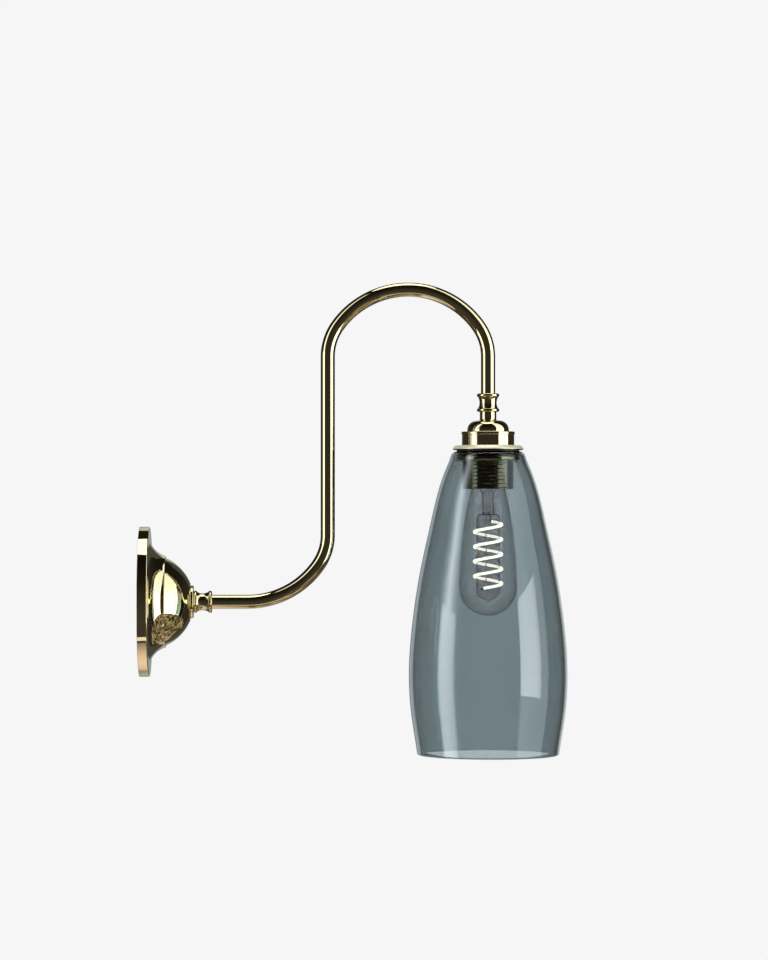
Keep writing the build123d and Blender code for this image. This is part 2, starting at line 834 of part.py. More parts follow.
with BuildPart() as lamp_core:
    with BuildSketch(lamp_section):
        band(core_bore_r, core_body_r, core_end, shell_top)
        band(core_chamber_r, core_body_r, shell_top, core_chamber_top)
        band(0, core_body_r, core_chamber_top, core_top)
        band(0, core_flange_r, core_ledge, core_top)
    revolve(axis=lamp_axis)
    for rivet_plane in (live_rivet_plane, neutral_rivet_plane):
        drilled(rivet_plane, rivet_r + slip, rivet_drill)
lamp_core.part.label = "lamp_core"
export_step(lamp_core.part, "parts/lamp_core.step")

# Screw shell: a threaded brass cup whose turned-in top is riveted to the core
shell_low = shell_top - shell_len
shell_turns = math.floor((shell_len - shell_flange_t) / screw_pitch)

with BuildPart() as screw_shell:
    with BuildSketch(lamp_section):
        band(shell_major_r, shell_r, shell_low, shell_top)
        band(shell_flange_r, shell_r, shell_top - shell_flange_t, shell_top)
        ridges(shell_major_r, shell_minor_r, shell_low, screw_pitch, shell_turns)
    revolve(axis=lamp_axis)
    drilled(neutral_rivet_plane, rivet_r + slip, rivet_drill + shell_flange_t)
screw_shell.part.label = "screw_shell"
export_step(screw_shell.part, "parts/screw_shell.step")

# Centre contact: a sprung brass strip, riveted under the core's ceiling
foot_low = core_chamber_top - contact_t
foot_end = contact_foot_x - rivet_head_r
pad_end = foot_end - 2 * contact_t

with BuildPart() as centre_contact:
    with BuildSketch(lamp_section):
        with BuildLine():
            Polyline(
                (-contact_foot_x - rivet_head_r, core_chamber_top),
                (-contact_foot_x - rivet_head_r, foot_low),
                (-foot_end, foot_low),
                (-pad_end, contact_low),
                (pad_end, contact_low),
                (pad_end, contact_low + contact_t),
                (contact_t - pad_end, contact_low + contact_t),
                (contact_t - foot_end, core_chamber_top),
                close=True,
            )
        make_face()
    extrude(amount=contact_w / 2, both=True)
    drilled(live_rivet_plane, rivet_r + slip, core_top + rivet_set - foot_low)
centre_contact.part.label = "centre_contact"
export_step(centre_contact.part, "parts/centre_contact.step")

# Rivets that carry the current up through the core into the terminals
live_rivet_len = core_top + rivet_set - foot_low
neutral_rivet_len = core_top + rivet_set - shell_top + shell_flange_t

with BuildPart() as contact_rivets:
    with Locations(live_rivet_plane):
        Cylinder(rivet_r, live_rivet_len, align=(Align.CENTER, Align.CENTER, Align.MAX))
    with Locations(live_rivet_plane.offset(-live_rivet_len)):
        Cylinder(rivet_head_r, rivet_head_h, align=(Align.CENTER, Align.CENTER, Align.MAX))
    with Locations(neutral_rivet_plane):
        Cylinder(rivet_r, neutral_rivet_len, align=(Align.CENTER, Align.CENTER, Align.MAX))
contact_rivets.part.label = "contact_rivets"
export_step(contact_rivets.part, "parts/contact_rivets.step")

# Terminals on the core, each with a wire hole from above and a screw from the side
terminal_top = core_top + terminal_h
terminal_screw_z = terminal_top - core_depth / 2
wire_hole_r = core_r + wire_clear
terminal_screw_planes = [
    lamp_plane(side * terminal_x, -terminal_depth / 2, terminal_screw_z, (0, -1, 0)) for side in (1, -1)
]
terminal_screw_reach = terminal_depth / 2 - core_r - slip

with BuildPart() as lamp_terminals:
    with Locations(core_ceiling):
        with Locations((terminal_x, 0), (-terminal_x, 0)):
            Box(
                terminal_w,
                terminal_depth,
                terminal_h,
                align=(Align.CENTER, Align.CENTER, Align.MIN),
            )
    for side in (1, -1):
        wire_hole_plane = lamp_plane(side * terminal_x, 0, terminal_top, (0, 0, 1))
        drilled(wire_hole_plane, wire_hole_r, core_depth + wire_clear)
    for rivet_plane in (live_rivet_plane, neutral_rivet_plane):
        drilled(rivet_plane.offset(slip), rivet_r + slip, rivet_set + slip)
    for screw_plane in terminal_screw_planes:
        drilled(screw_plane, terminal_screw_r + slip, terminal_depth / 2)
lamp_terminals.part.label = "lamp_terminals"
export_step(lamp_terminals.part, "parts/lamp_terminals.step")

with BuildPart() as lamp_terminal_screws:
    for screw_plane in terminal_screw_planes:
        with Locations(screw_plane.offset(terminal_screw_proud)):
            Cylinder(
                terminal_screw_r,
                terminal_screw_proud + terminal_screw_reach,
                align=(Align.CENTER, Align.CENTER, Align.MAX),
            )
            driver_slot(terminal_screw_r)
lamp_terminal_screws.part.label = "lamp_terminal_screws"
export_step(lamp_terminal_screws.part, "parts/lamp_terminal_screws.step")

# Earth pillar under the cap's ceiling, with its screw from below
cap_pillar_low = cap_ceiling - cap_pillar_h
cap_way_z = cap_ceiling - cap_pillar_h / 2 - core_r
cap_pillar_face = cap_pillar_y - cap_pillar_depth / 2
cap_pillar_under = lamp_plane(0, cap_pillar_y, cap_pillar_low, (0, 0, -1))
cap_way_plane = lamp_plane(0, cap_pillar_face, cap_way_z, (0, -1, 0))
cap_screw_reach = cap_way_z - core_r - slip - cap_pillar_low

with BuildPart() as cap_earth_pillar:
    with Locations(cap_pillar_under):
        Box(
            cap_pillar_w,
            cap_pillar_depth,
            cap_pillar_h,
            align=(Align.CENTER, Align.CENTER, Align.MAX),
        )
    drilled(cap_way_plane, wire_hole_r, cap_pillar_depth - cap_pillar_back)
    drilled(cap_pillar_under, terminal_screw_r + slip, cap_way_z - cap_pillar_low)
cap_earth_pillar.part.label = "cap_earth_pillar"
export_step(cap_earth_pillar.part, "parts/cap_earth_pillar.step")

with BuildPart() as cap_earth_screw:
    with Locations(cap_pillar_under.offset(terminal_screw_proud)):
        Cylinder(
            terminal_screw_r,
            terminal_screw_proud + cap_screw_reach,
            align=(Align.CENTER, Align.CENTER, Align.MAX),
        )
        driver_slot(terminal_screw_r)
cap_earth_screw.part.label = "cap_earth_screw"
export_step(cap_earth_screw.part, "parts/cap_earth_screw.step")

# Terminal block on the plate, with a brass clamp in each way
block_top = plate_depth + block_h
block_outer_y = block_inner_y + block_w
way_offsets = (block_way_pitch / 2, -block_way_pitch / 2)
way_planes = [Plane(origin=(way_x, block_outer_y, z), z_dir=(0, 1, 0)) for z in way_offsets]
clamp_screw_ys = (block_inner_y + clamp_screw_inset, block_outer_y - clamp_screw_inset)
clamp_screw_planes = [outward(block_top, y, z) for y in clamp_screw_ys for z in way_offsets]
block_recess = block_screw_head_h + screw_clear
block_screw_plane = outward(block_top - block_recess, block_mid_y, 0)

with BuildPart() as terminal_block:
    with Locations(outward(plate_depth, block_mid_y, 0)):
        Box(block_w, block_len, block_h, align=(Align.CENTER, Align.CENTER, Align.MIN))
    for way_plane in way_planes:
        drilled(way_plane, clamp_r + slip, block_w)
    for screw_plane in clamp_screw_planes:
        drilled(screw_plane, clamp_screw_r + screw_clear, block_top - way_x)
    drilled(outward(block_top, block_mid_y, 0), block_screw_head_r + screw_clear, block_recess)
    drilled(block_screw_plane, block_screw_r + screw_clear, block_h)
terminal_block.part.label = "terminal_block"
export_step(terminal_block.part, "parts/terminal_block.step")

with BuildPart() as block_clamps:
    for way_plane in way_planes:
        with BuildSketch(way_plane.offset(-clamp_end_gap)):
            Circle(clamp_r)
            Circle(clamp_bore_r, mode=Mode.SUBTRACT)
        extrude(amount=2 * clamp_end_gap - block_w)
block_clamps.part.label = "block_clamps"
export_step(block_clamps.part, "parts/block_clamps.step")

clamp_screw_len = block_top - way_x - clamp_r - slip - screw_clear

with BuildPart() as block_clamp_screws:
    for screw_plane in clamp_screw_planes:
        with Locations(screw_plane.offset(-screw_clear)):
            Cylinder(clamp_screw_r, clamp_screw_len, align=(Align.CENTER, Align.CENTER, Align.MAX))
            driver_slot(clamp_screw_r)
block_clamp_screws.part.label = "block_clamp_screws"
export_step(block_clamp_screws.part, "parts/block_clamp_screws.step")

with BuildPart() as block_screw:
    pan_screw(
        block_screw_plane,
        block_screw_head_r,
        block_screw_head_h,
        block_screw_r,
        block_h - block_recess + plate_web,
    )
block_screw.part.label = "block_screw"
export_step(block_screw.part, "parts/block_screw.step")

# Earth pillar on the plate, riveted through the web, with its clamp screw
pillar_top = plate_depth + pillar_h
pillar_face_y = -block_inner_y
pillar_top_plane = outward(pillar_top, pillar_mid_y, 0)
earth_screw_reach = pillar_top - way_x - core_r - slip

with BuildPart() as earth_pillar:
    with Locations(pillar_top_plane):
        Box(pillar_w, pillar_w, pillar_h, align=(Align.CENTER, Align.CENTER, Align.MAX))
        Cylinder(pillar_stud_r, pillar_h + plate_web, align=(Align.CENTER, Align.CENTER, Align.MAX))
    drilled(Plane(origin=(way_x, pillar_face_y, 0), z_dir=(0, 1, 0)), wire_hole_r, pillar_w)
    drilled(pillar_top_plane, terminal_screw_r + slip, pillar_top - way_x)
earth_pillar.part.label = "earth_pillar"
export_step(earth_pillar.part, "parts/earth_pillar.step")

with BuildPart() as earth_screw:
    with Locations(pillar_top_plane.offset(terminal_screw_proud)):
        Cylinder(
            terminal_screw_r,
            terminal_screw_proud + earth_screw_reach,
            align=(Align.CENTER, Align.CENTER, Align.MAX),
        )
        driver_slot(terminal_screw_r)
earth_screw.part.label = "earth_screw"
export_step(earth_screw.part, "parts/earth_screw.step")

# Cores of the flex: from the sheath's ends to the terminals at the wall and in the lampholder
fan_y = block_inner_y - core_fan_run
core_end_y = block_inner_y + core_depth
lamp_fan_z = flex_lamp_end - core_fan_drop
lamp_core_end = terminal_top - core_depth


def power_core(side):
    """One power core at both ends of the flex, on the given side of its middle."""
    shift = side * core_spacing
    way_z = side * block_way_pitch / 2
    wire(
        [
            (flex_wall_end, 0, shift),
            (way_x, 0, shift),
            (way_x, fan_y, way_z),
            (way_x, core_end_y, way_z),
        ],
        core_r,
        core_bend_r,
    )
    wire(
        [
            (arm_reach + shift, 0, flex_lamp_end),
            (arm_reach + shift, 0, lamp_fan_z),
            (arm_reach + side * terminal_x, 0, lamp_fan_z - core_bend_r),
            (arm_reach + side * terminal_x, 0, lamp_core_end),
        ],
        core_r,
        core_bend_r,
    )


with BuildPart() as live_core:
    power_core(-1)
live_core.part.label = "live_core"
export_step(live_core.part, "parts/live_core.step")

with BuildPart() as neutral_core:
    power_core(1)
neutral_core.part.label = "neutral_core"
export_step(neutral_core.part, "parts/neutral_core.step")

with BuildPart() as earth_core:
    wire(
        [
            (flex_wall_end, 0, 0),
            (way_x, 0, 0),
            (way_x, -core_end_y, 0),
        ],
        core_r,
        core_bend_r,
    )
    wire(
        [
            (arm_reach, 0, flex_lamp_end),
            (arm_reach, 0, cap_way_z),
            (arm_reach, cap_pillar_face + core_depth - cap_pillar_back, cap_way_z),
        ],
        core_r,
        core_bend_r,
    )
earth_core.part.label = "earth_core"
export_step(earth_core.part, "parts/earth_core.step")

# Bulb cap: a threaded metal cup with a collar round the glass neck
bulb_collar_top = bulb_joint + bulb_collar_h
bulb_cap_bore = bulb_cap_root_r - bulb_cap_wall

with BuildPart() as bulb_cap:
    with BuildSketch(lamp_section):
        band(bulb_collar_bore, bulb_collar_r, bulb_joint, bulb_collar_top)
        band(bulb_cap_bore, bulb_collar_r, bulb_collar_top - bulb_cap_wall, bulb_collar_top)
        band(bulb_cap_bore, bulb_cap_root_r, bulb_collar_top - bulb_cap_wall, bulb_cap_top)
        band(bulb_insulator_r - bulb_seat_w, bulb_cap_root_r, bulb_cap_top - bulb_cap_wall, bulb_cap_top)
        ridges(bulb_cap_root_r, bulb_cap_crest_r, bulb_collar_top, screw_pitch, bulb_cap_turns)
    revolve(axis=lamp_axis)
bulb_cap.part.label = "bulb_cap"
export_step(bulb_cap.part, "parts/bulb_cap.step")

# Cap insulator and tip contact
with BuildPart() as bulb_cap_insulator:
    with BuildSketch(lamp_section):
        Polygon(
            (bulb_tip_stem_r + slip, bulb_cap_top),
            (bulb_insulator_r, bulb_cap_top),
            (bulb_insulator_r, bulb_cap_top + bulb_cap_wall),
            (bulb_tip_r + bulb_cap_wall, bulb_insulator_top),
            (bulb_tip_stem_r + slip, bulb_insulator_top),
            align=None,
        )
    revolve(axis=lamp_axis)
bulb_cap_insulator.part.label = "bulb_cap_insulator"
export_step(bulb_cap_insulator.part, "parts/bulb_cap_insulator.step")

with BuildPart() as bulb_tip_contact:
    with BuildSketch(lamp_section):
        band(0, bulb_tip_r, bulb_insulator_top, bulb_tip_top)
        band(0, bulb_tip_stem_r, bulb_cap_top, bulb_insulator_top)
    revolve(axis=lamp_axis)
    fillet(edges().filter_by(GeomType.CIRCLE).sort_by(Axis.Z)[-1], bulb_tip_edge_r)
bulb_tip_contact.part.label = "bulb_tip_contact"
export_step(bulb_tip_contact.part, "parts/bulb_tip_contact.step")

# Bulb glass: a short neck, a long swelling flank and a half-round end
flank_d = bulb_max_r - bulb_neck_r
flank_r = (bulb_flank_h**2 + flank_d**2) / (2 * flank_d)


def flank_radius(set_in, z):
    """Radius of the bulb's flank at a height, on its outside or set in from it."""
    return bulb_max_r - flank_r + math.sqrt((flank_r - set_in) ** 2 - (z - bulb_belly) ** 2)


def bulb_outline(set_in):
    """Outside of the bulb's glass, or its inside where set_in is the wall."""
    belly_r = bulb_max_r - set_in
    neck = flank_radius(set_in, bulb_shoulder)
    middle_z = (bulb_shoulder + bulb_belly) / 2
    pole = bulb_belly - belly_r
    dip = belly_r * math.sqrt(0.5)
    Polyline((0, bulb_neck_top), (neck, bulb_neck_top), (neck, bulb_shoulder))
    ThreePointArc((neck, bulb_shoulder), (flank_radius(set_in, middle_z), middle_z), (belly_r, bulb_belly))
    ThreePointArc((belly_r, bulb_belly), (dip, bulb_belly - dip), (0, pole))
    Line((0, pole), (0, bulb_neck_top))


with BuildPart() as bulb_glass:
    with BuildSketch(lamp_section):
        with BuildLine():
            bulb_outline(0)
        make_face()
        with BuildLine():
            bulb_outline(bulb_glass_wall)
        make_face(mode=Mode.SUBTRACT)
    revolve(axis=lamp_axis)
bulb_glass.part.label = "bulb_glass"
export_step(bulb_glass.part, "parts/bulb_glass.step")

# Filament: one strand wound up round the glass column, on pairs of tangent arcs
quarter_turn = 90.0
coil_low = column_end + coil_rise
coil_sweep = coil_high_angle - coil_low_angle
coil_steps = math.ceil(coil_sweep / quarter_turn)
coil_slope = math.atan2(coil_pitch, 2 * math.pi * coil_r)
strand_d = 2 * filament_r


def coil_point(angle):
    """Point of the winding's centre line at an angle in degrees."""
    turn = math.radians(angle)
    height = coil_low + coil_pitch * (angle - coil_low_angle) / 360.0
    return Vector(arm_reach + coil_r * math.cos(turn), coil_r * math.sin(turn), height)


def coil_tangent(angle):
    """Direction of the winding's centre line at an angle in degrees."""
    turn = math.radians(angle)
    level = math.cos(coil_slope)
    return Vector(-level * math.sin(turn), level * math.cos(turn), math.sin(coil_slope))


def biarc(start, start_heading, end, end_heading):
    """Two tangent arcs between two points with given headings."""
    chord = end - start
    headings = start_heading + end_heading
    bend = 2 * (1 - start_heading.dot(end_heading))
    along = chord.dot(headings)
    reach = (math.sqrt(along**2 + bend * chord.dot(chord)) - along) / bend
    first_corner = start + start_heading * reach
    second_corner = end - end_heading * reach
    middle = (first_corner + second_corner) * 0.5
    TangentArc(start, middle, tangent=start_heading)
    TangentArc(middle, end, tangent=second_corner - first_corner)


coil_angles = [coil_low_angle + coil_sweep * step / coil_steps for step in range(coil_steps + 1)]
strand_low = coil_point(coil_low_angle) - coil_tangent(coil_low_angle) * strand_d
strand_high = coil_point(coil_high_angle) + coil_tangent(coil_high_angle) * strand_d

with BuildPart() as filament:
    with BuildLine() as strand_path:
        Line(strand_low, coil_point(coil_low_angle))
        for low_angle, high_angle in zip(coil_angles, coil_angles[1:]):
            biarc(
                coil_point(low_angle),
                coil_tangent(low_angle),
                coil_point(high_angle),
                coil_tangent(high_angle),
            )
        Line(coil_point(coil_high_angle), strand_high)
    with BuildSketch(Plane(strand_path.line ^ 0)):
        Circle(filament_r)
    sweep(path=strand_path.line)
filament.part.label = "filament"
export_step(filament.part, "parts/filament.step")

strand_wire = strand_path.wire()
samples_a_step = 24
sample_count = samples_a_step * coil_steps
strand_samples = [strand_wire @ (index / sample_count) for index in range(sample_count + 1)]
half_turn = 2 * samples_a_step
strand_gap = min(
    (strand_samples[first] - strand_samples[second]).length - strand_d
    for first in range(sample_count + 1)
    for second in range(first + half_turn, sample_count + 1)
)
strand_volume = math.pi * filament_r**2 * strand_wire.length
print(f"filament: least gap to itself {strand_gap:.2f} mm")
print(f"filament: volume over section times length {filament.part.volume / strand_volume:.4f}")

# Sleeves on the filament's ends, and the leads that feed them
sleeve_reach = strand_d + sleeve_len / 2
low_sleeve = coil_point(coil_low_angle) - coil_tangent(coil_low_angle) * sleeve_reach
high_sleeve = coil_point(coil_high_angle) + coil_tangent(coil_high_angle) * sleeve_reach


def from_lamp_axis(point):
    """Level direction and distance from the lamp axis to a point."""
    level = Vector(point.X - arm_reach, point.Y, 0)
    return level.normalized(), level.length


low_direction, low_distance = from_lamp_axis(low_sleeve)
high_direction, high_distance = from_lamp_axis(high_sleeve)


def lamp_point(direction, distance, z):
    """Point at a distance from the lamp axis, in a level direction, at a height."""
    return Vector(arm_reach, 0, z) + direction * distance


with BuildPart() as filament_sleeves:
    for centre, end_angle in ((low_sleeve, coil_low_angle), (high_sleeve, coil_high_angle)):
        with Locations(Plane(origin=centre, z_dir=coil_tangent(end_angle))):
            Cylinder(sleeve_r, sleeve_len)
filament_sleeves.part.label = "filament_sleeves"
export_step(filament_sleeves.part, "parts/filament_sleeves.step")

lead_exit_z = column_top + lead_exit_rise

with BuildPart() as lead_wires:
    wire(
        [
            lamp_point(high_direction, stem_r + slip, lead_exit_z),
            lamp_point(high_direction, high_distance, lead_exit_z),
            lamp_point(high_direction, high_distance, high_sleeve.Z + sleeve_r + lead_gap),
        ],
        lead_r,
        lead_bend_r,
    )
    wire(
        [
            lamp_point(low_direction, lead_inset, column_top - column_wall - slip),
            lamp_point(low_direction, lead_inset, low_sleeve.Z),
            lamp_point(low_direction, low_distance - sleeve_r - lead_gap, low_sleeve.Z),
        ],
        lead_r,
        lead_bend_r,
    )
lead_wires.part.label = "lead_wires"
export_step(lead_wires.part, "parts/lead_wires.step")

# Stem: a flare in the bulb's neck, a stalk, and the hollow column that the filament is wound on
stem_flare_r = flank_radius(bulb_glass_wall, bulb_shoulder) - stem_flare_gap
column_bore = column_r - column_wall
column_tip = column_end - column_tip_h
lead_hole_plane = Plane(
    origin=lamp_point(low_direction, column_r + column_wall, low_sleeve.Z),
    z_dir=low_direction,
)

with BuildPart() as bulb_stem:
    with BuildSketch(lamp_section):
        with BuildLine():
            Polyline(
                (stem_bore_r, stem_top),
                (stem_flare_r, stem_top),
                (stem_r, stem_waist),
                (stem_r, column_top),
                (column_r, column_top),
                (column_r, column_end),
                (column_tip_r, column_tip),
                (0, column_tip),
                (0, column_tip + column_wall),
                (column_tip_r - column_wall / 2, column_tip + column_wall),
                (column_bore, column_end),
                (column_bore, column_top - column_wall),
                (stem_bore_r, column_top - column_wall),
                close=True,
            )
        make_face()
    revolve(axis=lamp_axis)
    drilled(lead_hole_plane, lead_r + wire_clear, 3 * column_wall)
bulb_stem.part.label = "bulb_stem"
export_step(bulb_stem.part, "parts/bulb_stem.step")

# Driver board that stands on the stem inside the bulb's cap
with BuildPart() as bulb_driver_board:
    with Locations(lamp_plane(0, 0, stem_top, (0, 0, 1))):
        Box(board_w, board_t, board_h, align=(Align.CENTER, Align.CENTER, Align.MIN))
bulb_driver_board.part.label = "bulb_driver_board"
export_step(bulb_driver_board.part, "parts/bulb_driver_board.step")
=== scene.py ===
"""Swan neck wall light: brass arm, smoked glass shade and spiral filament bulb, dressed on its frame."""

import json
import math

import bmesh
import bpy
import numpy as np
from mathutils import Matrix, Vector


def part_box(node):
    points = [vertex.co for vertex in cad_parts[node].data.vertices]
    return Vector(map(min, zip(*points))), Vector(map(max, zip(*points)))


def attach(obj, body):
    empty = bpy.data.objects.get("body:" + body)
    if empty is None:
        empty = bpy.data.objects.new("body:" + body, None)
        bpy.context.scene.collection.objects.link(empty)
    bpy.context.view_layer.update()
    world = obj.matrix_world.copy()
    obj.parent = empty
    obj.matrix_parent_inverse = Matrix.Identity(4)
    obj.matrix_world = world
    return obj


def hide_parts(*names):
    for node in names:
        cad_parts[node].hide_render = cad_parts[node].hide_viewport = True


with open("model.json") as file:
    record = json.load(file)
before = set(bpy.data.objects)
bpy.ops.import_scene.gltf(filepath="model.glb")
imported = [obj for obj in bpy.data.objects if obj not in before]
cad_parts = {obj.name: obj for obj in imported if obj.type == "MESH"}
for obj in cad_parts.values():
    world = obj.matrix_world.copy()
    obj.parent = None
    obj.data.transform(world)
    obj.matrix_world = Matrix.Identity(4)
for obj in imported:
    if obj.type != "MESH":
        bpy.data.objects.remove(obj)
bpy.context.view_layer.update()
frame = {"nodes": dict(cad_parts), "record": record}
scene = bpy.context.scene

# Lengths of the light below are in millimetres, and this turns them into Blender's metres
MM = 0.001

# Fineness of the meshes
LATHE_SEGMENTS = 160
TUBE_SIDES = 48
ARC_STEP_DEG = 4.0
BEND_STEP_DEG = 2.0
SHARP_ANGLE_DEG = 32.0
ON_AXIS_R = 1e-6

# Roundings that several pieces share
SQUARE = 0.0
EDGE = 0.3
SEAT_EDGE = 0.4

# Places that the frame gives
plate_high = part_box("wall_plate")[1]
cover_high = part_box("dome_cover")[1]
flange_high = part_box("cover_flange")[1]
wall_spool_low, wall_spool_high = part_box("wall_coupling")
tube_low, tube_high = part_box("arm_tube")
lamp_spool_low, lamp_spool_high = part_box("lamp_coupling")
cap_low, cap_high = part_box("lampholder_cap")
body_low, body_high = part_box("lampholder_body")
disc_low, disc_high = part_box("gallery_disc")
ring_low, ring_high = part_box("shade_ring")
glass_low, glass_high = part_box("glass_shade")
bulb_low, bulb_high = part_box("bulb_glass")
stem_low, stem_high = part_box("bulb_stem")
lamp_x = (glass_low.x + glass_high.x) / 2


def mm(value):
    """A length of the frame in millimetres."""
    return value / MM


# Outlines: points (radius, distance along the axis) in millimetres
def arc_points(start, end, radius, side):
    """Points of an arc, without its start; side is 1 for a bulge to the left of the way, -1 to the right."""
    start, end = Vector(start), Vector(end)
    half = (end - start) / 2
    across = Vector((-half.y, half.x)).normalized()
    depth = math.sqrt(max(radius**2 - half.length_squared, 0.0))
    centre = start + half - across * depth * side
    first = (start - centre).angle_signed(Vector((1, 0)))
    turn = 2 * math.asin(min(half.length / radius, 1.0))
    steps = max(2, math.ceil(math.degrees(turn) / ARC_STEP_DEG))
    points = []
    for step in range(1, steps + 1):
        angle = first - side * turn * step / steps
        points.append(centre + radius * Vector((math.cos(angle), math.sin(angle))))
    return points


def circle_radius(chord, rise):
    """Radius of an arc from its chord and its rise."""
    return (chord**2 / 4 + rise**2) / (2 * rise)


def rounded(corners):
    """A closed outline through corners (radius, along, rounding), each corner rounded with an arc."""
    points = []
    for index, (radius, along, rounding) in enumerate(corners):
        here = Vector((radius, along))
        before = (Vector(corners[index - 1][:2]) - here).normalized()
        after = (Vector(corners[(index + 1) % len(corners)][:2]) - here).normalized()
        if rounding == SQUARE:
            points.append(here)
            continue
        half = before.angle(after) / 2
        reach = rounding / math.tan(half)
        start = here + before * reach
        end = here + after * reach
        side = 1 if before.cross(after) > 0 else -1
        points.append(start)
        points.extend(arc_points(start, end, rounding, side))
    return points


def cubic_weights(share):
    """Weights of a cubic's start, first heading, end and last heading at a share of the way."""
    square, cube = share**2, share**3
    weights = (2 * cube - 3 * square + 1, cube - 2 * square + share, 3 * square - 2 * cube, cube - square)
    return np.array(weights)


def spline_points(knots, start_heading, end_heading, steps):
    """Points of a smooth line through the knots, with a given heading at each end, without its start."""
    knots = np.array(knots, float)
    spans = np.linalg.norm(np.diff(knots, axis=0), axis=1)
    count = len(knots)
    system = np.zeros((count, count))
    target = np.zeros((count, 2))
    system[0, 0] = 1
    system[-1, -1] = 1
    target[0] = np.array(start_heading) / np.linalg.norm(start_heading)
    target[-1] = np.array(end_heading) / np.linalg.norm(end_heading)
    slopes = np.diff(knots, axis=0) / spans[:, None]
    for index in range(1, count - 1):
        before, after = spans[index - 1], spans[index]
        system[index, index - 1 : index + 2] = (after, 2 * (before + after), before)
        target[index] = 3 * (after * slopes[index - 1] + before * slopes[index])
    headings = np.linalg.solve(system, target)
    points = []
    for index, span in enumerate(spans):
        start = (knots[index], span * headings[index])
        end = (knots[index + 1], span * headings[index + 1])
        for step in range(1, steps + 1):
            points.append(Vector(cubic_weights(step / steps) @ np.array((*start, *end))))
    return points


# Mesh builders
def finish_mesh(name, built):
    """Turns a bmesh into a smooth object with sharp corners kept."""
    bmesh.ops.recalc_face_normals(built, faces=built.faces)
    mesh = bpy.data.meshes.new(name)
    built.to_mesh(mesh)
    built.free()
    mesh.shade_smooth()
    mesh.set_sharp_from_angle(angle=math.radians(SHARP_ANGLE_DEG))
    piece = bpy.data.objects.new(name, mesh)
    scene.collection.objects.link(piece)
    return piece


def angles_round(count):
    """Evenly spaced angles round a circle."""
    return [2 * math.pi * step / count for step in range(count)]


def axis_point(axis, radius, along, angle):
    """A point round one of the two axes, in metres."""
    across, up = radius * math.cos(angle), radius * math.sin(angle)
    if axis == "wall":
        return Vector((along, across, up)) * MM
    return Vector((lamp_x, 0, 0)) + Vector((across, up, along)) * MM


def lathe(name, outline, axis, closed=True):
    """A turned piece: the outline goes round the wall axis (along X) or the lamp axis (along Z)."""
    built = bmesh.new()
    rings = []
    for radius, along in outline:
        if radius < ON_AXIS_R:
            rings.append([built.verts.new(axis_point(axis, 0.0, along, 0.0))])
            continue
        points = [axis_point(axis, radius, along, angle) for angle in angles_round(LATHE_SEGMENTS)]
        rings.append([built.verts.new(point) for point in points])
    pairs = list(zip(rings, rings[1:]))
    if closed:
        pairs.append((rings[-1], rings[0]))
    for first, second in pairs:
        for step in range(LATHE_SEGMENTS):
            following = (step + 1) % LATHE_SEGMENTS
            corners = [first[step % len(first)], first[following % len(first)]]
            corners += [second[following % len(second)], second[step % len(second)]]
            corners = list(dict.fromkeys(corners))
            if len(corners) > 2:
                built.faces.new(corners)
    return finish_mesh(name, built)


def sweep(name, path, radius, bore=0.0, sides=TUBE_SIDES):
    """A round rod, or a tube where it has a bore, along points in millimetres."""
    built = bmesh.new()
    points = [Vector(point) for point in path]
    headings = [(points[1] - points[0]).normalized()]
    headings += [(after - before).normalized() for before, after in zip(points, points[2:])]
    headings.append((points[-1] - points[-2]).normalized())
    normal = headings[0].orthogonal().normalized()
    skins = []
    for size in (radius, bore) if bore else (radius,):
        rings = []
        across = normal
        for point, heading in zip(points, headings):
            across = (across - heading * across.dot(heading)).normalized()
            upward = heading.cross(across)
            spokes = [across * math.cos(angle) + upward * math.sin(angle) for angle in angles_round(sides)]
            rings.append([built.verts.new((point + size * spoke) * MM) for spoke in spokes])
        skins.append(rings)
        for first, second in zip(rings, rings[1:]):
            for side in range(sides):
                following = (side + 1) % sides
                built.faces.new((first[side], first[following], second[following], second[side]))
    for end in (0, -1):
        if bore:
            outer, inner = skins[0][end], skins[1][end]
            for side in range(sides):
                following = (side + 1) % sides
                built.faces.new((outer[side], outer[following], inner[following], inner[side]))
        else:
            built.faces.new(skins[0][end])
    return finish_mesh(name, built)


# Materials: noise scales are patches to a metre, and heights of a grain are in millimetres
NOISE_DETAIL = 3.0
NOISE_LOW = 0.3
NOISE_HIGH = 0.7
METAL_PATCHES = 22.0
METAL_POLISH = 140.0
METAL_GRAIN_HEIGHT = 0.02
PLASTIC_MOTTLE = 260.0
PLASTIC_SPREAD = 0.15
PLASTIC_GRAIN = 2400.0
PLASTIC_BUMP = 0.15
PLASTIC_GRAIN_HEIGHT = 0.05
BLOWN_WAVES = 18.0
BLOWN_WAVE_DETAIL = 1.0
BLOWN_BUMP = 0.05
BLOWN_WAVE_HEIGHT = 0.2
PHOSPHOR_GRAIN = 500.0
PHOSPHOR_ROUGHNESS = 0.5


def new_material(name):
    """A material with its node tree and its shader."""
    material = bpy.data.materials.new(name)
    material.use_nodes = True
    tree = material.node_tree
    shader = tree.nodes["Principled BSDF"]
    return material, tree, shader


def surface_noise(tree, scale, detail=NOISE_DETAIL):
    """Noise in the object's own space, so many patches to a metre."""
    place = tree.nodes.new("ShaderNodeTexCoord")
    noise = tree.nodes.new("ShaderNodeTexNoise")
    noise.inputs["Scale"].default_value = scale
    noise.inputs["Detail"].default_value = detail
    tree.links.new(place.outputs["Object"], noise.inputs["Vector"])
    return noise.outputs["Fac"]


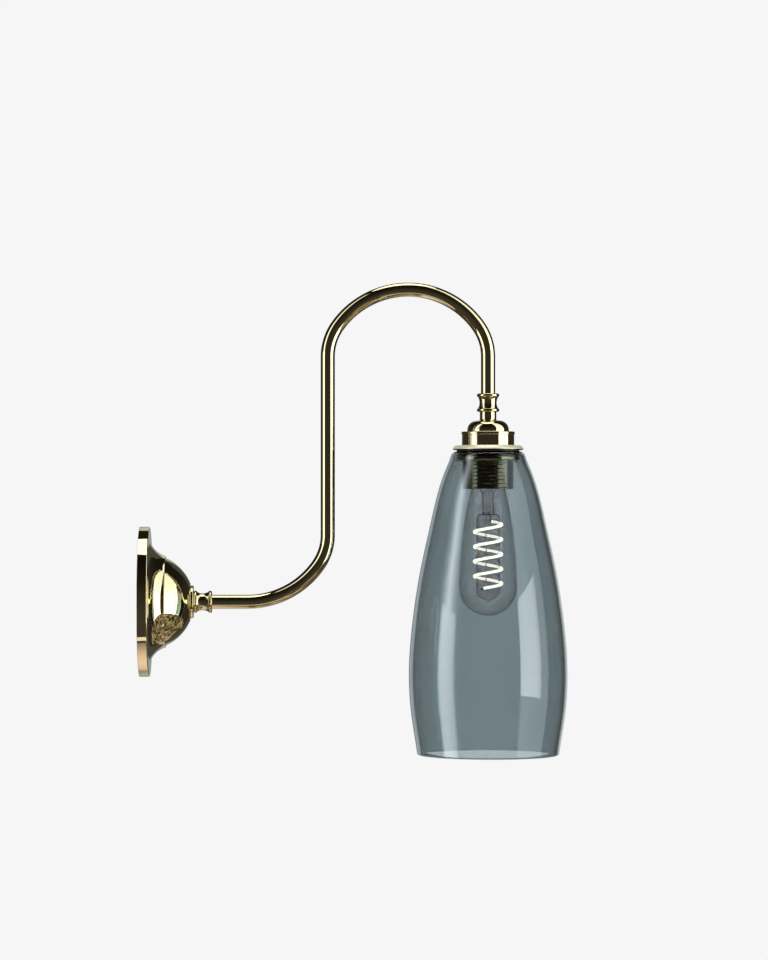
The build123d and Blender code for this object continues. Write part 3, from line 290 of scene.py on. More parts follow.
def spread(tree, value, low, high):
    """Maps noise onto a range of one number."""
    scaled = tree.nodes.new("ShaderNodeMapRange")
    scaled.inputs["From Min"].default_value = NOISE_LOW
    scaled.inputs["From Max"].default_value = NOISE_HIGH
    scaled.inputs["To Min"].default_value = low
    scaled.inputs["To Max"].default_value = high
    tree.links.new(value, scaled.inputs["Value"])
    return scaled.outputs["Result"]


def two_tones(tree, value, first, second, low=NOISE_LOW, high=NOISE_HIGH):
    """Mixes two colours by noise, which is all the first below one level and all the second above another."""
    ramp = tree.nodes.new("ShaderNodeValToRGB")
    ramp.color_ramp.elements[0].position = low
    ramp.color_ramp.elements[1].position = high
    ramp.color_ramp.elements[0].color = (*first, 1.0)
    ramp.color_ramp.elements[1].color = (*second, 1.0)
    tree.links.new(value, ramp.inputs["Fac"])
    return ramp.outputs["Color"]


def add_bump(tree, shader, height, strength, distance):
    """Raises the surface a little by noise; the distance is in millimetres."""
    bump = tree.nodes.new("ShaderNodeBump")
    bump.inputs["Strength"].default_value = strength
    bump.inputs["Distance"].default_value = distance * MM
    tree.links.new(height, bump.inputs["Height"])
    tree.links.new(bump.outputs["Normal"], shader.inputs["Normal"])


def metal(name, first, second, rough_low, rough_high, grain, bump_strength, metallic=1.0):
    """Metal of two close tones, with polish that varies and a fine grain; part metal where metallic is below
    1, as on the satin brass, whose pale colour is a painted highlight.
    """
    material, tree, shader = new_material(name)
    shader.inputs["Metallic"].default_value = metallic
    patches = surface_noise(tree, METAL_PATCHES)
    tree.links.new(two_tones(tree, patches, first, second), shader.inputs["Base Color"])
    polish = surface_noise(tree, METAL_POLISH)
    tree.links.new(spread(tree, polish, rough_low, rough_high), shader.inputs["Roughness"])
    add_bump(tree, shader, surface_noise(tree, grain), bump_strength, METAL_GRAIN_HEIGHT)
    return material


def plastic(name, first, second, roughness):
    """Moulded plastic, porcelain, rubber or wire covering with a faint mottle and grain."""
    material, tree, shader = new_material(name)
    mottle = surface_noise(tree, PLASTIC_MOTTLE)
    tree.links.new(two_tones(tree, mottle, first, second), shader.inputs["Base Color"])
    rough_low = roughness * (1 - PLASTIC_SPREAD)
    rough_high = roughness * (1 + PLASTIC_SPREAD)
    tree.links.new(spread(tree, mottle, rough_low, rough_high), shader.inputs["Roughness"])
    add_bump(tree, shader, surface_noise(tree, PLASTIC_GRAIN), PLASTIC_BUMP, PLASTIC_GRAIN_HEIGHT)
    return material


def glass(name, index, tint, density):
    """Clear or smoked glass: the tint is in its depth, and its face is faintly uneven as blown glass is."""
    material, tree, shader = new_material(name)
    shader.inputs["Base Color"].default_value = (1.0, 1.0, 1.0, 1.0)
    shader.inputs["Transmission Weight"].default_value = 1.0
    shader.inputs["Roughness"].default_value = 0.0
    shader.inputs["IOR"].default_value = index
    waves = surface_noise(tree, BLOWN_WAVES, BLOWN_WAVE_DETAIL)
    add_bump(tree, shader, waves, BLOWN_BUMP, BLOWN_WAVE_HEIGHT)
    depth = tree.nodes.new("ShaderNodeVolumeAbsorption")
    depth.inputs["Color"].default_value = (*tint, 1.0)
    depth.inputs["Density"].default_value = density
    tree.links.new(depth.outputs["Volume"], tree.nodes["Material Output"].inputs["Volume"])
    return material


def glowing(name, first, second, strength):
    """The lit filament: a warm phosphor coat that glows."""
    material, tree, shader = new_material(name)
    coat = two_tones(tree, surface_noise(tree, PHOSPHOR_GRAIN), first, second)
    tree.links.new(coat, shader.inputs["Base Color"])
    tree.links.new(coat, shader.inputs["Emission Color"])
    shader.inputs["Emission Strength"].default_value = strength
    shader.inputs["Roughness"].default_value = PHOSPHOR_ROUGHNESS
    return material


# Metals: two tones, roughness from and to, scale and strength of the grain, and metallic where it isn't full
METALS = {
    "polished_brass": ((0.91, 0.785, 0.47), (0.88, 0.755, 0.44), 0.02, 0.05, 600.0, 0.01),
    # thread_brass is polished brass made darker: painted shade for the thread inside the glass
    "thread_brass": ((0.58, 0.49, 0.31), (0.52, 0.43, 0.26), 0.03, 0.07, 600.0, 0.02),
    # satin_brass is pale, part-metal brass for the gallery disc: a painted highlight on its rim and bevel
    "satin_brass": ((1.0, 0.95, 0.71), (0.98, 0.92, 0.67), 0.30, 0.40, 2600.0, 0.04, 0.4),
    "plain_brass": ((0.80, 0.62, 0.30), (0.72, 0.54, 0.25), 0.18, 0.30, 2200.0, 0.20),
    "zinc_steel": ((0.68, 0.69, 0.71), (0.60, 0.62, 0.64), 0.22, 0.36, 2200.0, 0.20),
    "cap_nickel": ((0.74, 0.72, 0.68), (0.68, 0.66, 0.62), 0.14, 0.26, 2000.0, 0.10),
}

# Plastics and the like: two tones and roughness
PLASTICS = {
    "porcelain": ((0.92, 0.91, 0.87), (0.88, 0.87, 0.83), 0.12),
    "black_rubber": ((0.030, 0.030, 0.032), (0.020, 0.020, 0.022), 0.55),
    "cap_insulation": ((0.030, 0.030, 0.035), (0.022, 0.022, 0.026), 0.20),
    "circuit_board": ((0.08, 0.30, 0.16), (0.06, 0.25, 0.13), 0.35),
    "block_plastic": ((0.88, 0.87, 0.84), (0.84, 0.83, 0.80), 0.40),
    "flex_sheath": ((0.86, 0.85, 0.82), (0.82, 0.81, 0.78), 0.45),
    "live_brown": ((0.30, 0.15, 0.07), (0.26, 0.13, 0.06), 0.42),
    "neutral_blue": ((0.08, 0.24, 0.58), (0.06, 0.20, 0.50), 0.42),
    "earth_green": ((0.28, 0.58, 0.12), (0.78, 0.72, 0.10), 0.42),
}

# Glasses: refractive index, tint and density of the tint; the bulb's glass is thin and hardly bends light
GLASSES = {
    "smoked_glass": (1.5, (0.103, 0.257, 0.303), 293.0),
    "clear_glass": (1.3, (0.50, 0.20, 0.22), 360.0),
}
PHOSPHOR_TONES = ((1.0, 0.97, 0.82), (1.0, 0.94, 0.78))
FILAMENT_GLOW = 2.6

finishes = {name: metal(name, *values) for name, values in METALS.items()}
finishes.update({name: plastic(name, *values) for name, values in PLASTICS.items()})
finishes.update({name: glass(name, *values) for name, values in GLASSES.items()})
finishes["filament"] = glowing("filament", *PHOSPHOR_TONES, FILAMENT_GLOW)

node_slots = {subpart["node"]: subpart["material_slot"] for subpart in frame["record"]["subparts"]}
body_nodes = frame["record"]["behaviour"]["bodies"]
node_bodies = {node: body for body, members in body_nodes.items() for node in members}

# Every solid of the frame gets its finish, also where nothing replaces it
for node_name, slot_name in node_slots.items():
    solid = frame["nodes"][node_name]
    solid.data.materials.clear()
    solid.data.materials.append(finishes[slot_name])


def dress(piece, node):
    """Lets a piece stand for a node: it takes the node's body and finish, and the node's own solid is hidden.
    """
    slot = node_slots[node]
    piece.data.materials.append(finishes[slot])
    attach(piece, node_bodies[node])
    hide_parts(node)
    return piece


def finish_below(piece, height, finish):
    """Gives the faces of a piece below a height a second finish."""
    piece.data.materials.append(finishes[finish])
    for face in piece.data.polygons:
        if mm(face.center.z) < height:
            face.material_index = 1


# Wall plate: a shallow round pan with a soft front edge, its back on the wall
PLATE_WALL = 2.5
PLATE_EDGE = 1.0
PLATE_PAN_CORNER = 0.8
PLATE_BACK = 0.0
CABLE_HOLE_R = 12.0
plate_r = mm(plate_high.z)
plate_face = mm(plate_high.x)
plate_web = plate_face - PLATE_WALL
plate_corners = [
    (plate_r, PLATE_BACK, EDGE),
    (plate_r, plate_face, PLATE_EDGE),
    (CABLE_HOLE_R, plate_face, EDGE),
    (CABLE_HOLE_R, plate_web, EDGE),
    (plate_r - PLATE_WALL, plate_web, PLATE_PAN_CORNER),
    (plate_r - PLATE_WALL, PLATE_BACK, EDGE),
]
dress(lathe("plate", rounded(plate_corners), "wall"), "wall_plate")

# Dome cover: a hollow cove, a lip and a dome, spun from sheet
COVER_WALL = 1.2
COVE_HEIGHT = 12.8
COVE_ARC_R = 18.5
COVER_LIP_R = 36.8
COVER_LIP_EDGE = 0.7
DOME_R = 38.6
SEAT_R = 14.9
COVER_HOLE_R = 5.1
cover_foot_r = mm(cover_high.z)
cover_top = mm(cover_high.x)
lip_top = plate_face + COVE_HEIGHT
dome_centre = cover_top - math.sqrt(DOME_R**2 - SEAT_R**2)


def dome_side(radius, along):
    """A point of the dome's sphere, of the given radius, at a distance from the wall."""
    return (math.sqrt(radius**2 - (along - dome_centre) ** 2), along)


def cover_skin(set_in):
    """The cover's outside, or its inside where set_in is the wall, from the foot to the seat."""
    foot = (cover_foot_r - set_in * math.sqrt(2), plate_face)
    cove_end = (COVER_LIP_R - set_in, lip_top - COVER_LIP_EDGE)
    lip_edge = (COVER_LIP_R - COVER_LIP_EDGE - set_in, lip_top - set_in / 2)
    dome_foot = dome_side(DOME_R - set_in, lip_top - set_in / 2)
    dome_seat = dome_side(DOME_R - set_in, cover_top - set_in)
    points = [Vector(foot)]
    points += arc_points(foot, cove_end, COVE_ARC_R, 1)
    points += arc_points(cove_end, lip_edge, COVER_LIP_EDGE, -1)
    points.append(Vector(dome_foot))
    points += arc_points(dome_foot, dome_seat, DOME_R - set_in, -1)
    points.append(Vector((COVER_HOLE_R, cover_top - set_in)))
    return points


dress(lathe("cover", cover_skin(0.0) + cover_skin(COVER_WALL)[::-1], "wall"), "dome_cover")

# Flange and the two turned couplings
FLANGE_EDGE = 0.9
BEAD_W = 2.9
BEAD_DROP = 1.0
WAIST_R = 6.85
SOCKET_R = 5.75
flange_r = mm(flange_high.z)
flange_top = mm(flange_high.x)
flange_corners = [
    (COVER_HOLE_R, cover_top, SQUARE),
    (flange_r, cover_top, FLANGE_EDGE),
    (flange_r, flange_top, FLANGE_EDGE),
    (COVER_HOLE_R, flange_top, SQUARE),
]
dress(lathe("flange", rounded(flange_corners), "wall"), "cover_flange")


def spool(base, end, bead_r):
    """Outline of a coupling: a bead at each end and a hollow waist between them."""
    root = bead_r - BEAD_DROP
    bead_arc = circle_radius(BEAD_W, BEAD_DROP)
    waist_arc = circle_radius(end - base - 2 * BEAD_W, root - WAIST_R)
    points = [Vector((SOCKET_R, base)), Vector((root, base))]
    points += arc_points((root, base), (root, base + BEAD_W), bead_arc, -1)
    points += arc_points((root, base + BEAD_W), (root, end - BEAD_W), waist_arc, 1)
    points += arc_points((root, end - BEAD_W), (root, end), bead_arc, -1)
    points.append(Vector((SOCKET_R, end)))
    return points


spool_r = mm(wall_spool_high.z)
wall_spool = spool(mm(wall_spool_low.x), mm(wall_spool_high.x), spool_r)
lamp_spool = spool(mm(lamp_spool_low.z), mm(lamp_spool_high.z), spool_r)
dress(lathe("wall_spool", wall_spool, "wall"), "wall_coupling")
dress(lathe("lamp_spool", lamp_spool, "lamp"), "lamp_coupling")

# Arm: one tube along straights and pairs of arcs, as it is bent
TUBE_WALL = 1.1
BEND_WIDE_R = 69.1
BEND_TIGHT_R = 42.3
BEND_TIGHT_TURN = 35.5
bend_wide_turn = 90.0 - BEND_TIGHT_TURN
tube_r = (mm(tube_high.y) - mm(tube_low.y)) / 2
arm_top = mm(tube_high.z) - tube_r
arm_end_z = (mm(lamp_spool_low.z) + mm(lamp_spool_high.z)) / 2
bend_sin = math.sin(math.radians(bend_wide_turn))
bend_cos = math.cos(math.radians(bend_wide_turn))
bend_span = BEND_TIGHT_R * (1 - bend_sin) + BEND_WIDE_R * bend_sin
bend_rise = BEND_TIGHT_R * bend_cos + BEND_WIDE_R * (1 - bend_cos)
riser_x = mm(lamp_x) - 2 * bend_span
spring_z = arm_top - bend_rise


def bend(path, heading, radius, turn):
    """Adds an arc to a flat path of (x, z) points; returns the new heading in degrees."""
    side = 1 if turn > 0 else -1
    start = Vector(path[-1])
    facing = math.radians(heading)
    centre = start + side * radius * Vector((-math.sin(facing), math.cos(facing)))
    steps = math.ceil(abs(turn) / BEND_STEP_DEG)
    for step in range(1, steps + 1):
        angle = math.radians(heading + turn * step / steps)
        path.append(centre + side * radius * Vector((math.sin(angle), -math.cos(angle))))
    return heading + turn


def arm_path():
    """Centre line of the swan neck from the wall coupling to the lamp coupling."""
    path = [Vector((mm(tube_low.x), 0.0)), Vector((riser_x - bend_span, 0.0))]
    heading = bend(path, 0.0, BEND_WIDE_R, bend_wide_turn)
    heading = bend(path, heading, BEND_TIGHT_R, BEND_TIGHT_TURN)
    path.append(Vector((riser_x, spring_z)))
    heading = bend(path, heading, BEND_TIGHT_R, -BEND_TIGHT_TURN)
    heading = bend(path, heading, BEND_WIDE_R, -2 * bend_wide_turn)
    bend(path, heading, BEND_TIGHT_R, -BEND_TIGHT_TURN)
    path.append(Vector((mm(lamp_x), arm_end_z)))
    return [(x, 0.0, z) for x, z in path]


dress(sweep("swan_neck", arm_path(), tube_r, tube_r - TUBE_WALL), "arm_tube")

# Lampholder's cap: a neck, a rounded hollow top, a lip over the barrel and a spigot inside it
NECK_R = 6.6
NECK_LEN = 6.9
NECK_FILLET = 1.2
CAP_R = 16.6
CAP_H = 8.9
CAP_SHOULDER_R = 7.5
CAP_WALL = 1.8
CAP_LIP_EDGE = 0.6
CAP_LIP_H = 2.3
SPIGOT_R = 19.2
SPIGOT_BORE_R = 17.05
NIPPLE_R = 5.05
neck_top = mm(cap_high.z)
cap_top = neck_top - NECK_LEN
cap_seat = cap_top - CAP_H
cap_end = mm(cap_low.z)
cap_lip_r = mm(cap_high.y)
cap_bore_r = CAP_R - CAP_WALL
cap_ceiling = cap_top - CAP_WALL
lip_ceiling = cap_seat - CAP_WALL / 2
barrel_top = cap_seat - CAP_LIP_H
cap_corners = [
    (NIPPLE_R, neck_top, SQUARE),
    (NECK_R, neck_top, EDGE),
    (NECK_R, cap_top, NECK_FILLET),
    (CAP_R, cap_top, CAP_SHOULDER_R),
    (CAP_R, cap_seat, SEAT_EDGE),
    (cap_lip_r, cap_seat, CAP_LIP_EDGE),
    (cap_lip_r, barrel_top, EDGE),
    (SPIGOT_R, barrel_top, SQUARE),
    (SPIGOT_R, cap_end, SQUARE),
    (SPIGOT_BORE_R, cap_end, SQUARE),
    (SPIGOT_BORE_R, lip_ceiling, SQUARE),
    (cap_bore_r, lip_ceiling, SQUARE),
    (cap_bore_r, cap_ceiling, CAP_SHOULDER_R - CAP_WALL),
    (NIPPLE_R, cap_ceiling, SQUARE),
]
dress(lathe("holder_cap", rounded(cap_corners), "lamp"), "lampholder_cap")

# Lampholder's body: the barrel and the threaded skirt, with the places of a ridge in shares of the pitch
BARREL_H = 8.8
BARREL_BORE = 19.3
SKIRT_CREST_R = 20.6
SKIRT_ROOT_R = 20.25
SKIRT_BORE_R = 18.4
SKIRT_PITCH = 3.0
SKIRT_PLAIN = 1.6
RIDGE_ROUND = 0.2
RIDGE_CREST_LOW = 0.3
RIDGE_CREST_HIGH = 0.5
RIDGE_ROOT_HIGH = 0.8
barrel_r = mm(body_high.y)
skirt_top = barrel_top - BARREL_H
skirt_end = mm(body_low.z)
disc_under = mm(disc_low.z)
disc_top = mm(disc_high.z)
skirt_turns = math.floor((skirt_top - skirt_end - (disc_top - disc_under) - SKIRT_PLAIN) / SKIRT_PITCH)


def skirt_corners():
    """Corners of the barrel and its skirt, with one blunt ridge for each turn of the thread."""
    corners = [
        (BARREL_BORE, barrel_top, SQUARE),
        (barrel_r, barrel_top, SEAT_EDGE),
        (barrel_r, skirt_top, SEAT_EDGE),
        (SKIRT_ROOT_R, skirt_top, SQUARE),
    ]
    for turn in reversed(range(skirt_turns)):
        start = skirt_end + SKIRT_PLAIN / 2 + turn * SKIRT_PITCH
        corners.append((SKIRT_ROOT_R, start + RIDGE_ROOT_HIGH * SKIRT_PITCH, RIDGE_ROUND))
        corners.append((SKIRT_CREST_R, start + RIDGE_CREST_HIGH * SKIRT_PITCH, RIDGE_ROUND))
        corners.append((SKIRT_CREST_R, start + RIDGE_CREST_LOW * SKIRT_PITCH, RIDGE_ROUND))
        corners.append((SKIRT_ROOT_R, start, RIDGE_ROUND))
    corners.append((SKIRT_ROOT_R, skirt_end, EDGE))
    corners.append((SKIRT_BORE_R, skirt_end, EDGE))
    corners.append((SKIRT_BORE_R, skirt_top, SQUARE))
    corners.append((BARREL_BORE, skirt_top, SQUARE))
    return corners


# The thread gets a darker copy of the brass than the polished barrel: painted shade for the dim light it gets
# inside the glass
holder_body = dress(lathe("holder_body", rounded(skirt_corners()), "lamp"), "lampholder_body")
finish_below(holder_body, skirt_top, "thread_brass")

# Gallery disc over the glass: a satin rim and bevel in a pale brass that is a painted highlight, and a
# polished under side that mirrors the dark room
DISC_BEVEL_W = 2.1
DISC_BEVEL_H = 2.2
DISC_UNDER_BEVEL = 0.8
DISC_ROUND = 0.25
DISC_SLIP = 0.05
disc_bore_r = SKIRT_CREST_R + DISC_SLIP
disc_r = mm(disc_high.y)
disc_rim_low = disc_under + DISC_UNDER_BEVEL
disc_corners = [
    (disc_bore_r, disc_under, SQUARE),
    (disc_r - DISC_UNDER_BEVEL, disc_under, DISC_ROUND),
    (disc_r, disc_rim_low, DISC_ROUND),
    (disc_r, disc_top - DISC_BEVEL_H, DISC_ROUND),
    (disc_r - DISC_BEVEL_W, disc_top, DISC_ROUND),
    (disc_bore_r, disc_top, SQUARE),
]
gallery = dress(lathe("gallery", rounded(disc_corners), "lamp"), "gallery_disc")
finish_below(gallery, disc_rim_low, "polished_brass")

# Ring inside the glass
RING_EDGE = 1.8
RING_BORE_EDGE = 0.2
RING_BORE_R = 20.9
ring_r = mm(ring_high.y)
ring_end = mm(ring_low.z)
ring_top = mm(ring_high.z)
ring_corners = [
    (RING_BORE_R, ring_end, RING_BORE_EDGE),
    (ring_r, ring_end, RING_EDGE),
    (ring_r, ring_top, RING_EDGE),
    (RING_BORE_R, ring_top, RING_BORE_EDGE),
]
dress(lathe("glass_ring", rounded(ring_corners), "lamp"), "shade_ring")

# Glass shade: lip, shoulder, flank, belly and a half-round rim; flank points are (radius, depth from top)
GLASS_WALL = 3.0
GLASS_HOLE_R = 21.6
GLASS_LIP_R = 24.6
GLASS_SHOULDER_R = 5.5
GLASS_SHOULDER_TURN = 73.0
GLASS_FLANK = ((34.6, 16.0), (46.3, 58.6), (54.6, 97.0), (60.4, 135.4), (63.4, 178.8), (61.4, 211.0))
GLASS_MOUTH_R = 56.8
GLASS_RIM_H = 1.4
GLASS_STEPS = 14
glass_top = mm(glass_high.z)
glass_end = mm(glass_low.z)
shoulder_turn = math.radians(GLASS_SHOULDER_TURN)
tuck_r, tuck_depth = GLASS_FLANK[-1]
mouth_heading = (GLASS_MOUTH_R - tuck_r, glass_end - glass_top + tuck_depth)
shoulder_heading = (math.cos(shoulder_turn), -math.sin(shoulder_turn))


def glass_skin(set_in):
    """The shade's outside, or its inside where set_in is the wall, from the hole down to the rim."""
    top = glass_top - set_in
    shoulder_r = GLASS_SHOULDER_R - set_in
    shoulder_end = (
        GLASS_LIP_R + shoulder_r * math.sin(shoulder_turn),
        top - shoulder_r * (1 - math.cos(shoulder_turn)),
    )
    side = [(radius - set_in, glass_top - depth) for radius, depth in GLASS_FLANK]
    mouth = (GLASS_MOUTH_R - set_in, glass_end + GLASS_RIM_H)
    points = [Vector((GLASS_HOLE_R, top)), Vector((GLASS_LIP_R, top))]
    points += arc_points((GLASS_LIP_R, top), shoulder_end, shoulder_r, 1)
    points += spline_points([shoulder_end, *side, mouth], shoulder_heading, mouth_heading, GLASS_STEPS)
    return points


rim_arc = circle_radius(GLASS_WALL, GLASS_RIM_H)
outer_skin = glass_skin(0.0)
inner_skin = glass_skin(GLASS_WALL)
rim = arc_points(outer_skin[-1], inner_skin[-1], rim_arc, 1)[:-1]
dress(lathe("shade", outer_skin + rim + inner_skin[::-1], "lamp"), "glass_shade")

# Bulb: thin glass with a neck, a long swelling flank and a half-round end
BULB_WALL = 0.25
BULB_NECK_R = 12.7
BULB_NECK_LEN = 3.3
BULB_STEPS = 24
bulb_r = mm(bulb_high.y)
bulb_top = mm(bulb_high.z)
bulb_shoulder = bulb_top - BULB_NECK_LEN
bulb_belly = mm(bulb_low.z) + bulb_r
flank_drop = bulb_shoulder - bulb_belly
flank_r = circle_radius(2 * flank_drop, bulb_r - BULB_NECK_R)


def flank_radius(set_in, along):
    """Radius of the bulb's flank at a height."""
    return bulb_r - flank_r + math.sqrt((flank_r - set_in) ** 2 - (along - bulb_belly) ** 2)


def bulb_skin(set_in):
    """The bulb's outside, or its inside where set_in is the wall, from the neck to the pole."""
    neck = (flank_radius(set_in, bulb_shoulder), bulb_shoulder)
    belly = (bulb_r - set_in, bulb_belly)
    pole = (0.0, bulb_belly - bulb_r + set_in)
    points = [Vector((neck[0], bulb_top)), Vector(neck)]
    for step in range(1, BULB_STEPS + 1):
        along = bulb_shoulder + (bulb_belly - bulb_shoulder) * step / BULB_STEPS
        points.append(Vector((flank_radius(set_in, along), along)))
    points += arc_points(belly, pole, bulb_r - set_in, 1)[:-1]
    points.append(Vector(pole))
    return points


# The two skins each meet the axis at a pole, and they are joined at the open end
bulb_outline = bulb_skin(0.0)[::-1] + bulb_skin(BULB_WALL)
dress(lathe("bulb", bulb_outline, "lamp", closed=False), "bulb_glass")

# Stem: a flare in the neck, a stalk, and the hollow column inside the winding
STEM_R = 4.5
STEM_BORE_R = 4.2
STEM_FLARE_H = 9.0
STEM_WAIST_ROUND = 4.0
STEM_WAIST_BORE_ROUND = 3.0
STEM_FOOT_ROUND = 1.5
STEM_H = 16.5
COLUMN_R = 9.4
COLUMN_WALL = 0.3
COLUMN_SHOULDER = 3.3
COLUMN_END_ROUND = 2.0
COLUMN_END_BORE_ROUND = 1.2
COLUMN_TIP_H = 5.0
COLUMN_TIP_R = 3.0
COLUMN_TIP_ROUND = 1.2
COLUMN_TIP_BORE_ROUND = 0.4
COLUMN_PINHOLE_R = 0.05
stem_top = mm(stem_high.z)
stem_flare_r = mm(stem_high.y)
stem_waist = stem_top - STEM_FLARE_H
column_top = stem_waist - STEM_H
column_tip = mm(stem_low.z)
column_end = column_tip + COLUMN_TIP_H
stem_corners = [
    (stem_flare_r - COLUMN_WALL, stem_top, SQUARE),
    (stem_flare_r, stem_top, SQUARE),
    (STEM_R, stem_waist, STEM_WAIST_ROUND),
    (STEM_R, column_top, STEM_FOOT_ROUND),
    (COLUMN_R, column_top, COLUMN_SHOULDER),
    (COLUMN_R, column_end, COLUMN_END_ROUND),
    (COLUMN_TIP_R, column_tip, COLUMN_TIP_ROUND),
    (COLUMN_PINHOLE_R, column_tip, SQUARE),
    (COLUMN_PINHOLE_R, column_tip + COLUMN_WALL, SQUARE),
    (COLUMN_TIP_R - COLUMN_WALL / 2, column_tip + COLUMN_WALL, COLUMN_TIP_BORE_ROUND),
    (COLUMN_R - COLUMN_WALL, column_end, COLUMN_END_BORE_ROUND),
    (COLUMN_R - COLUMN_WALL, column_top - COLUMN_WALL, COLUMN_SHOULDER - COLUMN_WALL),
    (STEM_BORE_R, column_top - COLUMN_WALL, SQUARE),
    (STEM_BORE_R, stem_waist, STEM_WAIST_BORE_ROUND),
]
dress(lathe("bulb_column", rounded(stem_corners), "lamp"), "bulb_stem")

# Filament: one strand wound round the column
STRAND_R = 1.1
STRAND_SIDES = 20
COIL_R = 11.0
COIL_PITCH = 11.75
COIL_LOW_DEG = -100.0
COIL_HIGH_DEG = 1500.0
COIL_STEP_DEG = 6.0
COIL_RISE = 5.4


def coil_path():
    """Centre line of the winding, with a straight end as long as the strand is thick."""
    count = math.ceil((COIL_HIGH_DEG - COIL_LOW_DEG) / COIL_STEP_DEG)
    points = []
    for step in range(count + 1):
        degrees = COIL_LOW_DEG + (COIL_HIGH_DEG - COIL_LOW_DEG) * step / count
        angle = math.radians(degrees)
        height = column_end + COIL_RISE + COIL_PITCH * (degrees - COIL_LOW_DEG) / 360.0
        points.append(Vector((mm(lamp_x) + COIL_R * math.cos(angle), COIL_R * math.sin(angle), height)))
    first = (points[0] - points[1]).normalized() * 2 * STRAND_R
    last = (points[-1] - points[-2]).normalized() * 2 * STRAND_R
    return [points[0] + first, *points, points[-1] + last]


dress(sweep("glowing_coil", coil_path(), STRAND_R, sides=STRAND_SIDES), "filament")

# Studio, in metres: brass and glass mirror a dark room with soft lights, and the camera sees a pale backdrop
BACKDROP = 0.922
AMBIENT = 0.75
STUDIO_R = 3.0
STUDIO_CENTRE = Vector((0.17, 0.0, 0.06))
PATCH_STEPS = 32
ROUND_STEPS = 12
ROUND_SEGMENTS = 96
SPECK_DETAIL = 4.0
SPECK_LOW = 0.42
SPECK_HIGH = 0.62

# Mirror depths below this are the first mirror that the light meets
FIRST_MIRROR = 1.5


def multiplied(tree, first, second):
    """The product of two numbers of a material."""
    product = tree.nodes.new("ShaderNodeMath")
    product.operation = "MULTIPLY"
    tree.links.new(first, product.inputs[0])
    tree.links.new(second, product.inputs[1])
    return product.outputs["Value"]


def carried(tree, name):
    """A number that the panel's mesh carries."""
    number = tree.nodes.new("ShaderNodeAttribute")
    number.attribute_name = name
    return number.outputs["Fac"]


def mirrored_only(name, colour, otherwise, outer_face=True):
    """A studio surface that glows in mirrored light alone, at one level in metal and another in glass.

    Glass is the first sharp mirror, and with outer_face only what its outer face throws back.
    """
    material = bpy.data.materials.new(name)
    material.use_nodes = True
    material.cycles.emission_sampling = "NONE"
    tree = material.node_tree
    tree.nodes.remove(tree.nodes["Principled BSDF"])
    path = tree.nodes.new("ShaderNodeLightPath")
    first_mirror = tree.nodes.new("ShaderNodeMath")
    first_mirror.operation = "LESS_THAN"
    first_mirror.inputs[1].default_value = FIRST_MIRROR
    tree.links.new(path.outputs["Glossy Depth"], first_mirror.inputs[0])
    sharp = multiplied(tree, path.outputs["Is Singular Ray"], first_mirror.outputs["Value"])
    if outer_face:
        sharp = multiplied(tree, sharp, path.outputs["Is Reflection Ray"])
    brightness = tree.nodes.new("ShaderNodeMapRange")
    tree.links.new(sharp, brightness.inputs["Value"])
    tree.links.new(carried(tree, "in_metal"), brightness.inputs["To Min"])
    tree.links.new(carried(tree, "in_glass"), brightness.inputs["To Max"])
    glow = tree.nodes.new("ShaderNodeEmission")
    glow.inputs["Color"].default_value = (*colour, 1.0)
    plain = tree.nodes.new(otherwise)
    choice = tree.nodes.new("ShaderNodeMixShader")
    tree.links.new(brightness.outputs["Result"], glow.inputs["Strength"])
    tree.links.new(path.outputs["Glossy Depth"], choice.inputs["Fac"])
    tree.links.new(plain.outputs["BSDF"], choice.inputs[1])
    tree.links.new(glow.outputs["Emission"], choice.inputs[2])
    tree.links.new(choice.outputs["Shader"], tree.nodes["Material Output"].inputs["Surface"])
    return material


def fade(tree, axis, start, end):
    """A number that grows from 0 to 1 between two places along an axis."""
    place = tree.nodes.new("ShaderNodeNewGeometry")
    parts = tree.nodes.new("ShaderNodeSeparateXYZ")
    tree.links.new(place.outputs["Position"], parts.inputs["Vector"])
    growth = tree.nodes.new("ShaderNodeMapRange")
    growth.inputs["From Min"].default_value = start
    growth.inputs["From Max"].default_value = end
    tree.links.new(parts.outputs[axis], growth.inputs["Value"])
    return growth.outputs["Result"]


def add_mottle(material, first, second, scale, sideways, forward):
    """Breaks a studio surface into specks of two tones, which set in between two places along X and Y."""
    tree = material.node_tree
    glow = tree.nodes["Emission"]
    noise = surface_noise(tree, scale, SPECK_DETAIL)
    specks = two_tones(tree, noise, first, second, SPECK_LOW, SPECK_HIGH)
    amount = multiplied(tree, fade(tree, "X", *sideways), fade(tree, "Y", *forward))
    tones = tree.nodes.new("ShaderNodeMixRGB")
    tones.inputs["Color1"].default_value = glow.inputs["Color"].default_value
    tree.links.new(amount, tones.inputs["Fac"])
    tree.links.new(specks, tones.inputs["Color2"])
    tree.links.new(tones.outputs["Color"], glow.inputs["Color"])


def profile(values, share):
    """The value at a share of the way along evenly spaced values."""
    return float(np.interp(share, np.linspace(0.0, 1.0, len(values)), values))


def level_layers(built):
    """The two numbers that each point of a panel carries: its level in metal and in glass."""
    return built.verts.layers.float.new("in_metal"), built.verts.layers.float.new("in_glass")


def finish_panel(name, built, finish, centre=(0.0, 0.0, 0.0)):
    """Turns a bmesh into a panel of the studio, which isn't part of the light."""
    panel = finish_mesh(name, built)
    panel.location = centre
    panel.data.materials.append(finish)


